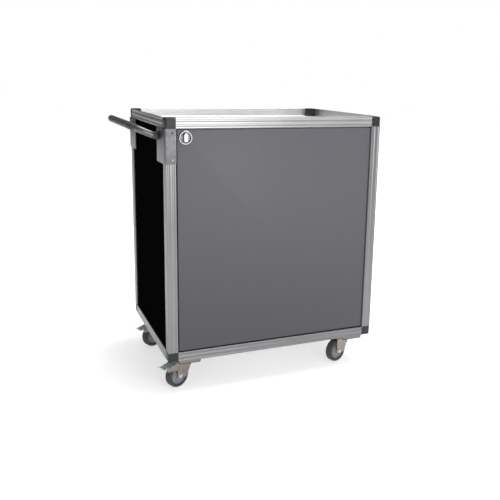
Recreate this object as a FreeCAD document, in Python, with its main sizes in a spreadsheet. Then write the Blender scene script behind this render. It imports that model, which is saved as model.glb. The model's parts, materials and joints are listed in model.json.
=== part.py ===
import FreeCAD, Part
import math
import os
import re

import Sketcher
from FreeCAD import Placement, Rotation, Vector

# Housekeeping cart: a cabinet of aluminium profile with one hinged and locked door, two shelves, a sunk
# top tray, a fold-down push handle at the left end and four swivel castors, two of them with a foot brake.
# X runs along the front, Y to the back and Z up. The origin is on the floor, in the middle of the outline.

# ---- Driving dimensions, in millimetres and degrees ----

DRIVING = {
    # how far cutting tools run past a face and joined solids reach into each other
    "overcut": 1,
    "overlap": 1,
    # cabinet
    "body_width": 900,
    "body_depth": 650,
    "body_height": 950,
    # aluminium profile: square tube with two shallow flutes in each face
    "profile_side": 40,
    "profile_wall": 3,
    "profile_round": 3,
    "flute_width": 11,
    "flute_depth": 1.2,
    "flute_offset": 8.5,
    # angle profile of the top rim
    "rim_wall": 4,
    "rim_round": 1.5,
    # moulded corner connectors
    "connector_round": 7,
    "spigot_length": 25,
    "spigot_gap": 0.3,
    # panels, boards and shelves
    "panel_thick": 12,
    "panel_inset": 8,
    "board_thick": 10,
    "board_setback": 24,
    "notch_gap": 0.5,
    "shelf_thick": 16,
    "shelf_setback": 36,
    "shelf_low": 310,
    "shelf_high": 610,
    "angle_leg": 20,
    "angle_thick": 2,
    "angle_end_gap": 10,
    # door and piano hinge
    "door_thick": 16,
    "door_side_gap": 4,
    "door_top_gap": 4.5,
    "door_bottom_gap": 6,
    "hinge_gap": 6,
    "hinge_out": 1,
    "leaf_thick": 1,
    "leaf_depth": 14,
    "knuckle_radius": 2.8,
    "knuckle_clear": 0.4,
    "knuckle_play": 0.3,
    "knuckle_pairs": 10,
    "hinge_pin_radius": 1.5,
    "pin_play": 0.05,
    "stop_gap": 1,
    "stop_width": 15,
    # lock
    "lock_in": 35,
    "lock_down": 73,
    "rosette_radius": 26.5,
    "ring_radius": 3.75,
    "dish_floor": 2,
    "barrel_radius": 11,
    "spindle_radius": 6,
    "spindle_play": 0.08,
    "nut_flats": 28,
    "nut_thick": 4,
    "knob_width": 17,
    "knob_length": 33,
    "knob_out": 14,
    "knob_round": 3,
    "key_slot_width": 2,
    "key_slot_length": 9,
    "key_slot_depth": 3,
    "cam_gap": 0.5,
    "cam_thick": 3,
    "cam_width": 18,
    "cam_reach": 30,
    "cam_square": 8,
    # push handle
    "pivot_out": 20,
    "pivot_down": 71,
    "arm_in": 75,
    "handle_reach": 90,
    "handle_tilt": 22.4,
    "handle_bend": 50,
    "tube_radius": 12.5,
    "tube_wall": 1.5,
    "grip_wall": 1.5,
    "grip_bend_angle": 45,
    "plug_collar": 10,
    "plug_spigot": 20,
    "plug_boss_radius": 8,
    "pivot_bolt_radius": 4,
    "pivot_play": 0.08,
    "cheek_gap": 0.4,
    "bolt_head_radius": 7,
    "bolt_head_height": 4,
    # handle brackets
    "bracket_thick": 4,
    "bracket_height": 130,
    "bracket_flange": 40,
    "bracket_reach": 120,
    "bracket_screw_in": 26,
    "bracket_screw_edge": 16,
    "screw_radius": 2.5,
    "screw_head_radius": 4.5,
    "screw_head_height": 2,
    # castors
    "castor_in_x": 86,
    "castor_in_y": 100,
    "beam_width": 90,
    "beam_height": 12,
    "beam_sheet": 3,
    "beam_end_gap": 4,
    "plate_thick": 3.5,
    "plate_width": 86,
    "plate_length": 104,
    "plate_round": 8,
    "bolt_in_x": 30,
    "bolt_in_y": 40,
    "mount_bolt_radius": 4,
    "mount_bolt_head": 7.5,
    "mount_bolt_height": 5,
    "bolt_play": 0.3,
    "upper_race": 5,
    "upper_race_radius": 29,
    "race_gap": 0.5,
    "lower_race": 10,
    "lower_race_radius": 26,
    "king_pin_radius": 5,
    "king_pin_head": 9,
    "king_pin_head_height": 3,
    "king_play": 0.08,
    "crown_gap": 6,
    "crown_front": 30,
    "fork_sheet": 3,
    "fork_inner": 37,
    "fork_leg": 12,
    "fork_toe": 28,
    "crown_lip": 6,
    "trail": 35,
    "wheel_radius": 50,
    "wheel_width": 32,
    "tyre_round": 7,
    "hub_radius": 36,
    "hub_width": 24,
    "hub_boss_radius": 12,
    "axle_radius": 4,
    "axle_play": 0.08,
    "axle_end": 6,
    "axle_nut_radius": 7.5,
    "wing_reach": 65,
    "wing_drop": 11,
    "wing_depth": 14,
    "wing_root": 31,
    "pedal_side_gap": 0.4,
    "pedal_pivot_back": 7,
    "pedal_pivot_drop": 4,
    "pedal_pin_radius": 2.5,
    "pedal_nose": 4,
    "pedal_reach": 84,
    "pedal_fall": 7,
    "pedal_thick": 3,
    "rib_start": 24,
    "rib_pitch": 11,
    "rib_width": 5,
    "rib_height": 1.5,
    "rib_slope": 1,
    "lip_run": 8,
    "lip_rise": 8,
    "lip_edge": 2,
    "shoe_near": 27,
    "shoe_near_gap": 5.4,
    "shoe_far": 39,
    "shoe_far_gap": 10.7,
    "shoe_back": 43,
    "yaw_front_left": 25,
    "yaw_front_right": 20,
    "yaw_back_left": 25,
    "yaw_back_right": -15,
}

# ---- Places worked out from the driving dimensions ----

PLACES = {
    "crown_low": "2 * wheel_radius + crown_gap",
    "crown_top": "crown_low + fork_sheet",
    "plate_low": "crown_top + lower_race + race_gap + upper_race",
    "plate_top": "plate_low + plate_thick",
    "foot": "plate_top + beam_height",
    "top": "foot + body_height",
    "grip_radius": "tube_radius + grip_wall",
    "handle_out": "pivot_out + handle_reach * cos(handle_tilt * 1 deg) + grip_radius",
    "left": "(handle_out - body_width) / 2",
    "right": "left + body_width",
    "front": "(knob_out - bracket_thick - screw_head_height - body_depth) / 2",
    "back": "front + body_depth",
    "middle_x": "left + body_width / 2",
    "middle_y": "front + body_depth / 2",
    "rail_low": "foot + profile_side",
    "rail_high": "top - profile_side",
    "floor_top": "rail_low + board_thick",
    "tray_low": "rail_high - board_thick",
    "inner_left": "left + panel_inset + panel_thick",
    "inner_right": "right - panel_inset - panel_thick",
    "inner_back": "back - panel_inset - panel_thick",
    "door_left": "left + profile_side + door_side_gap",
    "door_right": "right - profile_side - hinge_gap",
    "door_low": "rail_low + door_bottom_gap",
    "door_high": "rail_high - door_top_gap",
    "hinge_x": "door_right + hinge_gap / 2",
    "hinge_y": "front - hinge_out",
    "hinge_height": "door_high - door_low",
    "knuckle": "hinge_height / (2 * knuckle_pairs + 1)",
    "lock_x": "left + profile_side + lock_in",
    "lock_z": "top - lock_down",
    "cam_low": "door_thick + nut_thick + cam_gap",
    "pivot_x": "left - pivot_out",
    "pivot_z": "top - pivot_down",
    "arm_half": "body_depth / 2 - arm_in",
    "bracket_low": "rail_high - bracket_height",
    "tab_near": "arm_in + tube_radius + cheek_gap",
    "fork_half": "fork_inner / 2 + fork_sheet",
    "pedal_x": "-(trail + pedal_pivot_back)",
    "pedal_z": "crown_top - pedal_pivot_drop",
}

doc = FreeCAD.newDocument("housekeeping_cart")
sheet = doc.addObject("Spreadsheet::Sheet", "sizes")
for row, (alias, number) in enumerate(DRIVING.items(), start=1):
    sheet.set("A%d" % row, alias)
    sheet.set("B%d" % row, str(number))
    sheet.setAlias("B%d" % row, alias)
doc.recompute()

NODES = []


# ---- Helpers: formulas, primitives, booleans and sketches ----

def expression(formula):
    """Write a formula of size and place names as an expression on the cells of the sheet."""
    def swap(match):
        word = match.group()
        if word in PLACES:
            return "(%s)" % expression(PLACES[word])
        return "sizes." + word if word in DRIVING else word
    return re.sub(r"[a-z][a-z_]+", swap, str(formula))


def bind(item, **formulas):
    """Bind properties of an object to formulas; a double underscore stands for a dot."""
    for name, formula in formulas.items():
        item.setExpression(name.replace("__", "."), expression(formula))
    return item


def put(item, at=(0, 0, 0), axis=(0, 0, 1), turn=0, angle=None):
    """Place an object: turned about an axis by a number or an angle formula, then moved to formulas."""
    item.Placement = Placement(Vector(0, 0, 0), Rotation(Vector(*axis), turn if angle is None else 1))
    for letter, formula in zip("xyz", at):
        item.setExpression("Placement.Base." + letter, expression(formula))
    if angle is not None:
        item.setExpression("Placement.Rotation.Angle", expression("(%s) * 1 deg" % angle))
    return item


def box(name, start, size):
    """A box from its lowest corner and its three sides."""
    item = doc.addObject("Part::Box", name)
    bind(item, Length=size[0], Width=size[1], Height=size[2])
    return put(item, start)


def span(name, x, y, z):
    """A box from its lowest and highest formula along each axis."""
    sides = ["(%s) - (%s)" % (high, low) for low, high in (x, y, z)]
    return box(name, (x[0], y[0], z[0]), sides)


TO_Z = {"axis": (0, 0, 1), "turn": 0}
TO_Y = {"axis": (1, 0, 0), "turn": -90}
TO_X = {"axis": (0, 1, 0), "turn": 90}


def rod(name, start, radius, length, along=TO_Z):
    """A cylinder from its start along +Z, +Y or +X."""
    item = doc.addObject("Part::Cylinder", name)
    bind(item, Radius=radius, Height=length)
    return put(item, start, **along)


def hexagon(name, start, radius, length, along=TO_Z):
    """A six-sided prism, as a bolt head or a nut."""
    item = doc.addObject("Part::Prism", name)
    item.Polygon = 6
    bind(item, Circumradius=radius, Height=length)
    return put(item, start, **along)


def joined(name, items):
    """One solid made of overlapping or touching ones."""
    item = doc.addObject("Part::MultiFuse", name)
    item.Shapes = items
    item.Refine = True
    return item


def cut(name, base, tools):
    """One solid with others taken away."""
    item = doc.addObject("Part::Cut", name)
    item.Base = base
    item.Tool = tools[0] if len(tools) == 1 else joined(name + "_tools", tools)
    item.Refine = True
    return item


def group(name, items):
    """Separate solids kept together."""
    item = doc.addObject("Part::Compound", name)
    item.Links = items
    return item


def placed(name, source, at=(0, 0, 0), axis=(0, 0, 1), turn=0, angle=None):
    """A copy of an object, turned and moved."""
    return put(group(name, [source]), at, axis, turn, angle)


def mirrored(name, source, normal, at):
    """The mirror image of an object in a plane square to X, Y or Z."""
    item = doc.addObject("Part::Mirroring", name)
    item.Source = source
    item.Normal = Vector(*[1 if letter == normal else 0 for letter in "xyz"])
    item.setExpression("Base." + normal, expression(at))
    return item


def node(item, label):
    """Name a finished piece; it becomes one file."""
    item.Label = label
    NODES.append(item)
    return item


def new_body(name):
    """An empty PartDesign body."""
    return doc.addObject("PartDesign::Body", name)


def new_sketch(body, role, name, offset=None):
    """A sketch on one of the body's own origin planes, raised by an offset formula."""
    plane = next(item for item in body.Origin.OriginFeatures if item.Role == role)
    sketch = body.newObject("Sketcher::SketchObject", name)
    sketch.AttachmentSupport = [(plane, "")]
    sketch.MapMode = "FlatFace"
    if offset is not None:
        bind(sketch, AttachmentOffset__Base__z=offset)
    return sketch


def fix_point(sketch, shape, point, place):
    """Hold a sketch point at two formulas."""
    for kind, formula in zip(("DistanceX", "DistanceY"), place):
        index = sketch.addConstraint(Sketcher.Constraint(kind, -1, 1, shape, point, 1.0))
        sketch.setExpression("Constraints[%d]" % index, expression(formula))


def outline(sketch, corners):
    """Draw a closed outline of straight sides through corners, each a pair of formulas."""
    count = len(corners)
    turns = [2 * math.pi * step / count for step in range(count)]
    ring = [Vector(math.cos(turn), math.sin(turn), 0) for turn in turns]
    sides = [sketch.addGeometry(Part.LineSegment(ring[step], ring[(step + 1) % count]), False)
             for step in range(count)]
    for step in range(count):
        sketch.addConstraint(Sketcher.Constraint("Coincident", sides[step], 2, sides[(step + 1) % count], 1))
    for side, corner in zip(sides, corners):
        fix_point(sketch, side, 1, corner)


def rectangle(sketch, x, y):
    """Draw a rectangle between two pairs of formulas."""
    outline(sketch, [(x[0], y[0]), (x[1], y[0]), (x[1], y[1]), (x[0], y[1])])


def circle(sketch, radius, centre=("0", "0")):
    """Draw a circle."""
    shape = sketch.addGeometry(Part.Circle(Vector(0, 0, 0), Vector(0, 0, 1), 1.0), False)
    index = sketch.addConstraint(Sketcher.Constraint("Radius", shape, 1.0))
    sketch.setExpression("Constraints[%d]" % index, expression(radius))
    fix_point(sketch, shape, 3, centre)


def pad(body, sketch, length, both_ways=False):
    """Raise a sketch along its normal, or both ways from its plane."""
    feature = body.newObject("PartDesign::Pad", sketch.Name + "_pad")
    feature.Profile = sketch
    feature.Midplane = both_ways
    return bind(feature, Length=length)


def pocket(body, sketch, both_ways=False, length=None):
    """Cut a sketch upwards through the whole body, or by a length both ways from its plane."""
    before = body.Tip
    feature = body.newObject("PartDesign::Pocket", sketch.Name + "_pocket")
    feature.Profile = sketch
    feature.Reversed = not both_ways
    feature.Midplane = both_ways
    if length is None:
        feature.Type = "ThroughAll"
    else:
        bind(feature, Length=length)
    doc.recompute()
    assert feature.Shape.Volume < before.Shape.Volume, feature.Name + " cuts nothing"
    return feature


def round_edges(body, base, radius, wanted):
    """Round the edges of a feature that pass a test."""
    doc.recompute()
    edges = ["Edge%d" % number for number, edge in enumerate(base.Shape.Edges, start=1) if wanted(edge)]
    feature = body.newObject("PartDesign::Fillet", base.Name + "_round")
    feature.Base = (base, edges)
    return bind(feature, Radius=radius)


def is_upright(edge):
    """True for an edge parallel to Z."""
    return edge.BoundBox.ZLength > 1 and edge.BoundBox.XLength + edge.BoundBox.YLength < 0.01


def repeat_round(body, features, sketch, count):
    """Repeat features evenly about the sketch's normal."""
    pattern = body.newObject("PartDesign::PolarPattern", features[0].Name + "_around")
    pattern.Originals = features
    pattern.Axis = (sketch, ["N_Axis"])
    pattern.Angle = 360
    pattern.Occurrences = count
    body.Tip = pattern
    return pattern


def repeat_along(body, features, sketch, length, count):
    """Repeat features evenly along the sketch's normal."""
    pattern = body.newObject("PartDesign::LinearPattern", features[0].Name + "_along")
    pattern.Originals = features
    pattern.Direction = (sketch, ["N_Axis"])
    bind(pattern, Length=length, Occurrences=count)
    body.Tip = pattern
    return pattern


# ---- Frame of aluminium profile ----

FLUTE_RADIUS = "(flute_width ^ 2 / 4 + flute_depth ^ 2) / (2 * flute_depth)"
FLUTE_OUT = "-(profile_side / 2 - flute_depth + %s)" % FLUTE_RADIUS


def profile_bar(label, length, at, along=TO_Z):
    """A bar of square tube with rounded edges and two shallow round-bottomed flutes in each face."""
    body = new_body(label)
    half = "profile_side / 2"
    square = new_sketch(body, "XY_Plane", label + "_square")
    rectangle(square, ("-(%s)" % half, half), ("-(%s)" % half, half))
    bar = pad(body, square, length)
    round_edges(body, bar, "profile_round", is_upright)
    inside = new_sketch(body, "XY_Plane", label + "_inside")
    hollow = "profile_side / 2 - profile_wall"
    rectangle(inside, ("-(%s)" % hollow, hollow), ("-(%s)" % hollow, hollow))
    doc.recompute()
    pocket(body, inside)
    flutes = new_sketch(body, "XY_Plane", label + "_flutes")
    for side in ("-flute_offset", "flute_offset"):
        circle(flutes, FLUTE_RADIUS, (side, FLUTE_OUT))
    doc.recompute()
    flute_cut = pocket(body, flutes)
    repeat_round(body, [flute_cut], flutes, 4)
    return node(put(body, at, **along), label)


def rim_bar(label, length, at, along, swap):
    """A bar of angle profile: an upright wall with the same flutes and a flange turned inwards at its foot.

    The wall lies on the sketch's low Y side and the flange on its high X side, or the other way round."""
    body = new_body(label)
    half = "profile_side / 2"
    low = "-(%s)" % half
    inner = "-(%s - rim_wall)" % half
    shape = [(low, low), (half, low), (half, half), (half + " - rim_wall", half),
             (half + " - rim_wall", inner), (low, inner)]
    angle = new_sketch(body, "XY_Plane", label + "_angle")
    outline(angle, [(y, x) for x, y in shape] if swap else shape)
    round_edges(body, pad(body, angle, length), "rim_round", is_upright)
    flutes = new_sketch(body, "XY_Plane", label + "_flutes")
    for side in ("-flute_offset", "flute_offset"):
        circle(flutes, FLUTE_RADIUS, (FLUTE_OUT, side) if swap else (side, FLUTE_OUT))
    doc.recompute()
    pocket(body, flutes)
    return node(put(body, at, **along), label)


mid = "profile_side / 2"
post_x = {"left": "left + " + mid, "right": "right - " + mid}
post_y = {"front": "front + " + mid, "back": "back - " + mid}
rail_x = "left + profile_side"
rail_y = "front + profile_side"
low_z = "foot + " + mid
high_z = "top - " + mid
wide = "body_width - 2 * profile_side"
deep = "body_depth - 2 * profile_side"

for end, y in post_y.items():
    for side, x in post_x.items():
        profile_bar("post_%s_%s" % (end, side), "body_height - 2 * profile_side", (x, y, "rail_low"))
    profile_bar("bottom_rail_" + end, wide, (rail_x, y, low_z), TO_X)
for side, x in post_x.items():
    profile_bar("bottom_rail_" + side, deep, (x, rail_y, low_z), TO_Y)
rim_front = rim_bar("top_rail_front", wide, (rail_x, post_y["front"], high_z), TO_X, swap=False)
rim_left = rim_bar("top_rail_left", deep, (post_x["left"], rail_y, high_z), TO_Y, swap=True)
node(mirrored("rim_back", rim_front, "y", "middle_y"), "top_rail_back")
node(mirrored("rim_right", rim_left, "x", "middle_x"), "top_rail_right")


# ---- Corner connectors ----

def corner_connector(name, ways):
    """A cube with its three outer edges rounded, and a spigot for the end of each tube that it joins."""
    body = new_body(name + "_cube")
    base = new_sketch(body, "XY_Plane", name + "_base")
    rectangle(base, ("0", "profile_side"), ("0", "profile_side"))
    cube = pad(body, base, "profile_side")
    doc.recompute()
    outer = Vector(0, 0, cube.Shape.BoundBox.ZMax)
    round_edges(body, cube, "connector_round",
                lambda edge: any(vertex.Point.distanceToPoint(outer) < 0.01 for vertex in edge.Vertexes))
    put(body, ("left", "front", "rail_high"))
    low = "profile_wall + spigot_gap"
    high = "profile_side - profile_wall - spigot_gap"
    x = ("left + " + low, "left + " + high)
    y = ("front + " + low, "front + " + high)
    z = ("rail_high + " + low, "rail_high + " + high)
    spigots = {
        "x": [("left + profile_side", "left + profile_side + spigot_length"), y, z],
        "y": [x, ("front + profile_side", "front + profile_side + spigot_length"), z],
        "z": [x, y, ("rail_high - spigot_length", "rail_high")],
    }
    return joined(name, [body] + [span("%s_spigot_%s" % (name, way), *spigots[way]) for way in ways])


def four_corners(name, ways):
    """The connector and its three mirror images at one level."""
    connector = corner_connector(name, ways)
    pair = group(name + "_pair", [connector, mirrored(name + "_right", connector, "x", "middle_x")])
    return group(name + "_four", [pair, mirrored(name + "_back", pair, "y", "middle_y")])


node(four_corners("top_connector", "z"), "top_corner_connectors")
bottom_four = four_corners("bottom_connector", "xyz")
node(mirrored("bottom_connectors", bottom_four, "z", "foot + body_height / 2"), "bottom_corner_connectors")


# ---- Panels, boards and shelves ----

between_x = ("left + profile_side", "right - profile_side")
between_y = ("front + profile_side", "back - profile_side")
between_z = ("rail_low", "rail_high")

end_left = node(span("end_left", ("left + panel_inset", "inner_left"), between_y, between_z),
                "end_panel_left")
node(mirrored("end_right", end_left, "x", "middle_x"), "end_panel_right")
node(span("back_board", between_x, ("inner_back", "back - panel_inset"), between_z), "back_panel")


def notched_board(label, low, thick, setback):
    """A board between the panels, notched round the four posts."""
    start = "front + " + setback
    high = "%s + %s" % (low, thick)
    board = span(label + "_board", ("inner_left", "inner_right"), (start, "inner_back"), (low, high))
    side = ("inner_left - overcut", "left + profile_side + notch_gap")
    deep = (start + " - overcut", "front + profile_side + notch_gap")
    back = ("back - profile_side - notch_gap", "inner_back + overcut")
    tall = (low + " - overcut", high + " + overcut")
    notches = [span(label + "_notch_front", side, deep, tall), span(label + "_notch_back", side, back, tall)]
    notches += [mirrored(item.Name + "_right", item, "x", "middle_x") for item in notches]
    return node(cut(label + "_cut", board, notches), label)


notched_board("floor_board", "rail_low", "board_thick", "board_setback")
notched_board("tray_board", "tray_low", "board_thick", "board_setback")
notched_board("shelf_lower", "foot + shelf_low", "shelf_thick", "shelf_setback")
notched_board("shelf_upper", "foot + shelf_high", "shelf_thick", "shelf_setback")


def shelf_angle(name, height):
    """An angle strip on the left end panel with a shelf lying on it."""
    y = ("front + profile_side + angle_end_gap", "back - profile_side - angle_end_gap")
    leg = span(name + "_leg", ("inner_left", "inner_left + angle_thick"), y,
               (height + " - angle_leg", height))
    ledge = span(name + "_ledge", ("inner_left", "inner_left + angle_leg"), y,
                 (height + " - angle_thick", height))
    return joined(name, [leg, ledge])


angles = [shelf_angle("angle_low", "foot + shelf_low"), shelf_angle("angle_high", "foot + shelf_high")]
angles += [mirrored(item.Name + "_right", item, "x", "middle_x") for item in angles]
node(group("angles", angles), "shelf_supports")


# ---- Door, hinge and door stop ----

door_board = span("door_board", ("door_left", "door_right"), ("front", "front + door_thick"),
                  ("door_low", "door_high"))
lock_hole = rod("lock_hole", ("lock_x", "front - overcut", "lock_z"), "barrel_radius",
                "door_thick + 2 * overcut", TO_Y)
node(cut("door_cut", door_board, [lock_hole]), "door_panel")

stop_x = "left + profile_side"
stop_y = "front + door_thick + stop_gap"
node(span("stop_strip", (stop_x, stop_x + " + stop_width"), (stop_y, stop_y + " + angle_thick"),
          ("floor_top", "tray_low")), "door_stop")


def hinge_leaf(label, first, count, bore_radius):
    """A strip of the piano hinge beside its pin, with every second knuckle; its pin stands on the Z axis."""
    body = new_body(label)
    outer = "hinge_gap / 2"
    inner = "hinge_gap / 2 - leaf_thick"
    clear = "sqrt((knuckle_radius + knuckle_clear) ^ 2 - (hinge_gap / 2 - leaf_thick) ^ 2)"
    strip = new_sketch(body, "XY_Plane", label + "_strip")
    rectangle(strip, (inner, outer), (clear, "hinge_out + leaf_depth"))
    pad(body, strip, "hinge_height")
    start = "%d * knuckle + knuckle_play / 2" % first
    web = new_sketch(body, "XY_Plane", label + "_web", start)
    rectangle(web, (inner, outer), ("0", clear + " + overlap"))
    web_pad = pad(body, web, "knuckle - knuckle_play")
    curl = new_sketch(body, "XY_Plane", label + "_curl", start)
    circle(curl, "knuckle_radius")
    curl_pad = pad(body, curl, "knuckle - knuckle_play")
    repeat_along(body, [web_pad, curl_pad], curl, "2 * knuckle * ((%s) - 1)" % count, count)
    doc.recompute()
    bore = new_sketch(body, "XY_Plane", label + "_bore")
    circle(bore, bore_radius)
    pocket(body, bore)
    return body


hinge_place = ("hinge_x", "hinge_y", "door_low")
frame_leaf = hinge_leaf("hinge_frame_leaf", 0, "knuckle_pairs + 1", "hinge_pin_radius")
node(put(frame_leaf, hinge_place), "hinge_frame_leaf")
door_leaf = hinge_leaf("door_leaf", 1, "knuckle_pairs", "hinge_pin_radius + pin_play")
door_leaf_right = placed("door_leaf_right", door_leaf, hinge_place)
node(mirrored("door_leaf_mirrored", door_leaf_right, "x", "hinge_x"), "hinge_door_leaf")
node(rod("pin", hinge_place, "hinge_pin_radius", "hinge_height"), "hinge_pin")


# ---- Lock: drawn with its turning axis on Z, outwards up, then turned to face the front ----

LOCK_PLACE = {"at": ("lock_x", "front", "lock_z"), "axis": (1, 0, 0), "turn": 90}


def lock_ring():
    """A round bezel with a torus rim round a dish, and the threaded barrel that passes through the door."""
    disc = rod("rosette_disc", ("0", "0", "0"), "rosette_radius", "ring_radius")
    rim = doc.addObject("Part::Torus", "rosette_rim")
    bind(rim, Radius1="rosette_radius - ring_radius", Radius2="ring_radius")
    put(rim, ("0", "0", "ring_radius"))
    barrel = rod("rosette_barrel", ("0", "0", "-(cam_low - cam_gap)"), "barrel_radius", "cam_low")
    ring = joined("rosette_body", [disc, rim, barrel])
    dish = rod("rosette_dish", ("0", "0", "dish_floor"), "rosette_radius - 2 * ring_radius",
               "2 * ring_radius")
    bore = rod("rosette_bore", ("0", "0", "-2 * cam_low"), "spindle_radius + spindle_play", "4 * cam_low")
    return cut("rosette", ring, [dish, bore])


def lock_grip():
    """An upright oval grip with rounded edges and a key slot, on a spindle with a square inner end."""
    body = new_body("grip")
    base = new_sketch(body, "XY_Plane", "grip_base", "dish_floor + spindle_play")
    start = "knob_out - dish_floor - spindle_play"
    circle(base, "knob_width / 2")
    pad(body, base, start)
    straight = "(knob_length - knob_width) / 2"
    bar = new_sketch(body, "XY_Plane", "grip_bar", "dish_floor + spindle_play")
    rectangle(bar, ("-knob_width / 2", "knob_width / 2"), ("-" + straight, straight))
    pad(body, bar, start)
    for number, y in enumerate(("-" + straight, straight)):
        end = new_sketch(body, "XY_Plane", "grip_end_%d" % number, "dish_floor + spindle_play")
        circle(end, "knob_width / 2", ("0", y))
        last = pad(body, end, start)
    doc.recompute()
    crest = last.Shape.BoundBox.ZMax
    round_edges(body, last, "knob_round",
                lambda edge: edge.BoundBox.ZMin > crest - 0.01 and edge.BoundBox.ZLength < 0.01)
    slot = new_sketch(body, "XY_Plane", "grip_slot", "knob_out - key_slot_depth")
    rectangle(slot, ("-key_slot_width / 2", "key_slot_width / 2"),
              ("-key_slot_length / 2", "key_slot_length / 2"))
    doc.recompute()
    pocket(body, slot)
    spindle = rod("spindle", ("0", "0", "-cam_low"), "spindle_radius", "cam_low + dish_floor + spindle_play")
    half = "cam_square / 2"
    square = span("spindle_square", ("-" + half, half), ("-" + half, half),
                  ("-(cam_low + cam_thick)", "-cam_low"))
    return joined("knob", [body, spindle, square])


def lock_lever():
    """A flat cam on the square end of the spindle, which points down when the door is free."""
    z = ("-(cam_low + cam_thick)", "-cam_low")
    hub = rod("cam_hub", ("0", "0", z[0]), "cam_width / 2", "cam_thick")
    tip = rod("cam_tip", ("0", "-(cam_reach - cam_width / 2)", z[0]), "cam_width / 2", "cam_thick")
    arm = span("cam_arm", ("-cam_width / 2", "cam_width / 2"), ("-(cam_reach - cam_width / 2)", "0"), z)
    half = "cam_square / 2"
    hole = span("cam_hole", ("-" + half, half), ("-" + half, half),
                (z[0] + " - overcut", z[1] + " + overcut"))
    return cut("cam", joined("cam_plate", [hub, tip, arm]), [hole])


nut = hexagon("nut", ("0", "0", "-(door_thick + nut_thick)"), "nut_flats / sqrt(3)", "nut_thick")
nut_bore = rod("nut_bore", ("0", "0", "-(door_thick + nut_thick + overcut)"), "barrel_radius",
               "nut_thick + 2 * overcut")
node(placed("rosette_placed", lock_ring(), **LOCK_PLACE), "lock_rosette")
node(placed("nut_placed", cut("nut_cut", nut, [nut_bore]), **LOCK_PLACE), "lock_nut")
node(placed("knob_placed", lock_grip(), **LOCK_PLACE), "lock_knob")
node(placed("cam_placed", lock_lever(), **LOCK_PLACE), "lock_cam")


# ---- Push handle: drawn flat, arms along X and crossbar along Y, its pivot axis on Y, then tilted up ----

HANDLE_PLACE = {"at": ("pivot_x", "middle_y", "pivot_z"), "axis": (0, 1, 0), "angle": "handle_tilt"}


def bent_tube(name, radius, bend_turn="90"):
    """Crossbar and bends of the bail, as far round each bend as asked."""
    centre_x = "-(handle_reach - handle_bend)"
    centre_y = "arm_half - handle_bend"
    bar = rod(name + "_bar", ("-handle_reach", "-(%s)" % centre_y, "0"), radius, "2 * (%s)" % centre_y, TO_Y)
    bend = doc.addObject("Part::Torus", name + "_bend")
    bind(bend, Radius1="handle_bend", Radius2=radius, Angle3=bend_turn)
    put(bend, (centre_x, centre_y, "0"), angle="180 - (%s)" % bend_turn)
    other = mirrored(name + "_other_bend", bend, "y", "0")
    return [bar, bend, other]


def handle_bail():
    """The bent tube from plug collar to plug collar."""
    parts = {}
    for kind, radius in (("tube", "tube_radius"), ("bore", "tube_radius - tube_wall")):
        long = "handle_reach - handle_bend - plug_collar"
        arm = rod(kind + "_arm", ("-(handle_reach - handle_bend)", "arm_half", "0"), radius, long, TO_X)
        pieces = bent_tube(kind, radius) + [arm, mirrored(kind + "_other_arm", arm, "y", "0")]
        parts[kind] = joined(kind + "_whole", pieces)
    return cut("bail", parts["tube"], [parts["bore"]])


def end_plug():
    """A round-ended plug in the tube, bored across for the pivot bolt."""
    ball = doc.addObject("Part::Sphere", "plug_ball")
    put(bind(ball, Radius="tube_radius"), ("0", "arm_half", "0"))
    collar = rod("plug_collar_part", ("-plug_collar", "arm_half", "0"), "tube_radius", "plug_collar", TO_X)
    spigot = rod("plug_spigot_part", ("-(plug_collar + plug_spigot)", "arm_half", "0"),
                 "tube_radius - tube_wall", "plug_spigot", TO_X)
    half = "tube_radius - cheek_gap"
    boss = rod("plug_boss", ("0", "arm_half - (%s)" % half, "0"), "plug_boss_radius",
               "2 * (%s)" % half, TO_Y)
    bore = rod("plug_bore", ("0", "arm_half - 2 * tube_radius", "0"), "pivot_bolt_radius + pivot_play",
               "4 * tube_radius", TO_Y)
    return cut("plug", joined("plug_solid", [ball, collar, spigot, boss]), [bore])


grip_outside = joined("grip_outside", bent_tube("sleeve", "grip_radius", "grip_bend_angle"))
grip_inside = joined("grip_inside", bent_tube("sleeve_bore", "tube_radius", "grip_bend_angle"))
plug = end_plug()
plugs = group("plugs", [plug, mirrored("other_plug", plug, "y", "0")])
node(placed("tube_placed", handle_bail(), **HANDLE_PLACE), "handle_tube")
node(placed("grip_placed", cut("sleeve_cut", grip_outside, [grip_inside]), **HANDLE_PLACE), "handle_grip")
node(placed("plugs_placed", plugs, **HANDLE_PLACE), "handle_end_plugs")


def handle_bracket():
    """A plate bent round the post, with an ear beside the handle arm for the pivot bolt."""
    z = ("bracket_low", "rail_high")
    flange = span("bracket_flange_part", ("left - bracket_thick", "left + bracket_flange"),
                  ("front - bracket_thick", "front"), z)
    side = span("bracket_side", ("left - bracket_thick", "left"),
                ("front - bracket_thick", "front + bracket_reach"), z)
    ear_y = "front + tab_near"
    ear = span("bracket_ear", ("pivot_x", "left - bracket_thick"), (ear_y, ear_y + " + bracket_thick"),
               ("pivot_z - tube_radius", "pivot_z + tube_radius"))
    nose = rod("bracket_nose", ("pivot_x", ear_y, "pivot_z"), "tube_radius", "bracket_thick", TO_Y)
    plate = joined("bracket_plate", [flange, side, ear, nose])
    holes = [rod("bracket_pivot_hole", ("pivot_x", ear_y + " - overcut", "pivot_z"), "pivot_bolt_radius",
                 "bracket_thick + 2 * overcut", TO_Y)]
    for number, height in enumerate(screw_heights):
        start = ("left + bracket_screw_in", "front - bracket_thick - overcut", height)
        holes.append(rod("bracket_hole_%d" % number, start, "screw_radius", "bracket_thick + overcut", TO_Y))
    return cut("bracket", plate, holes)


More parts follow.
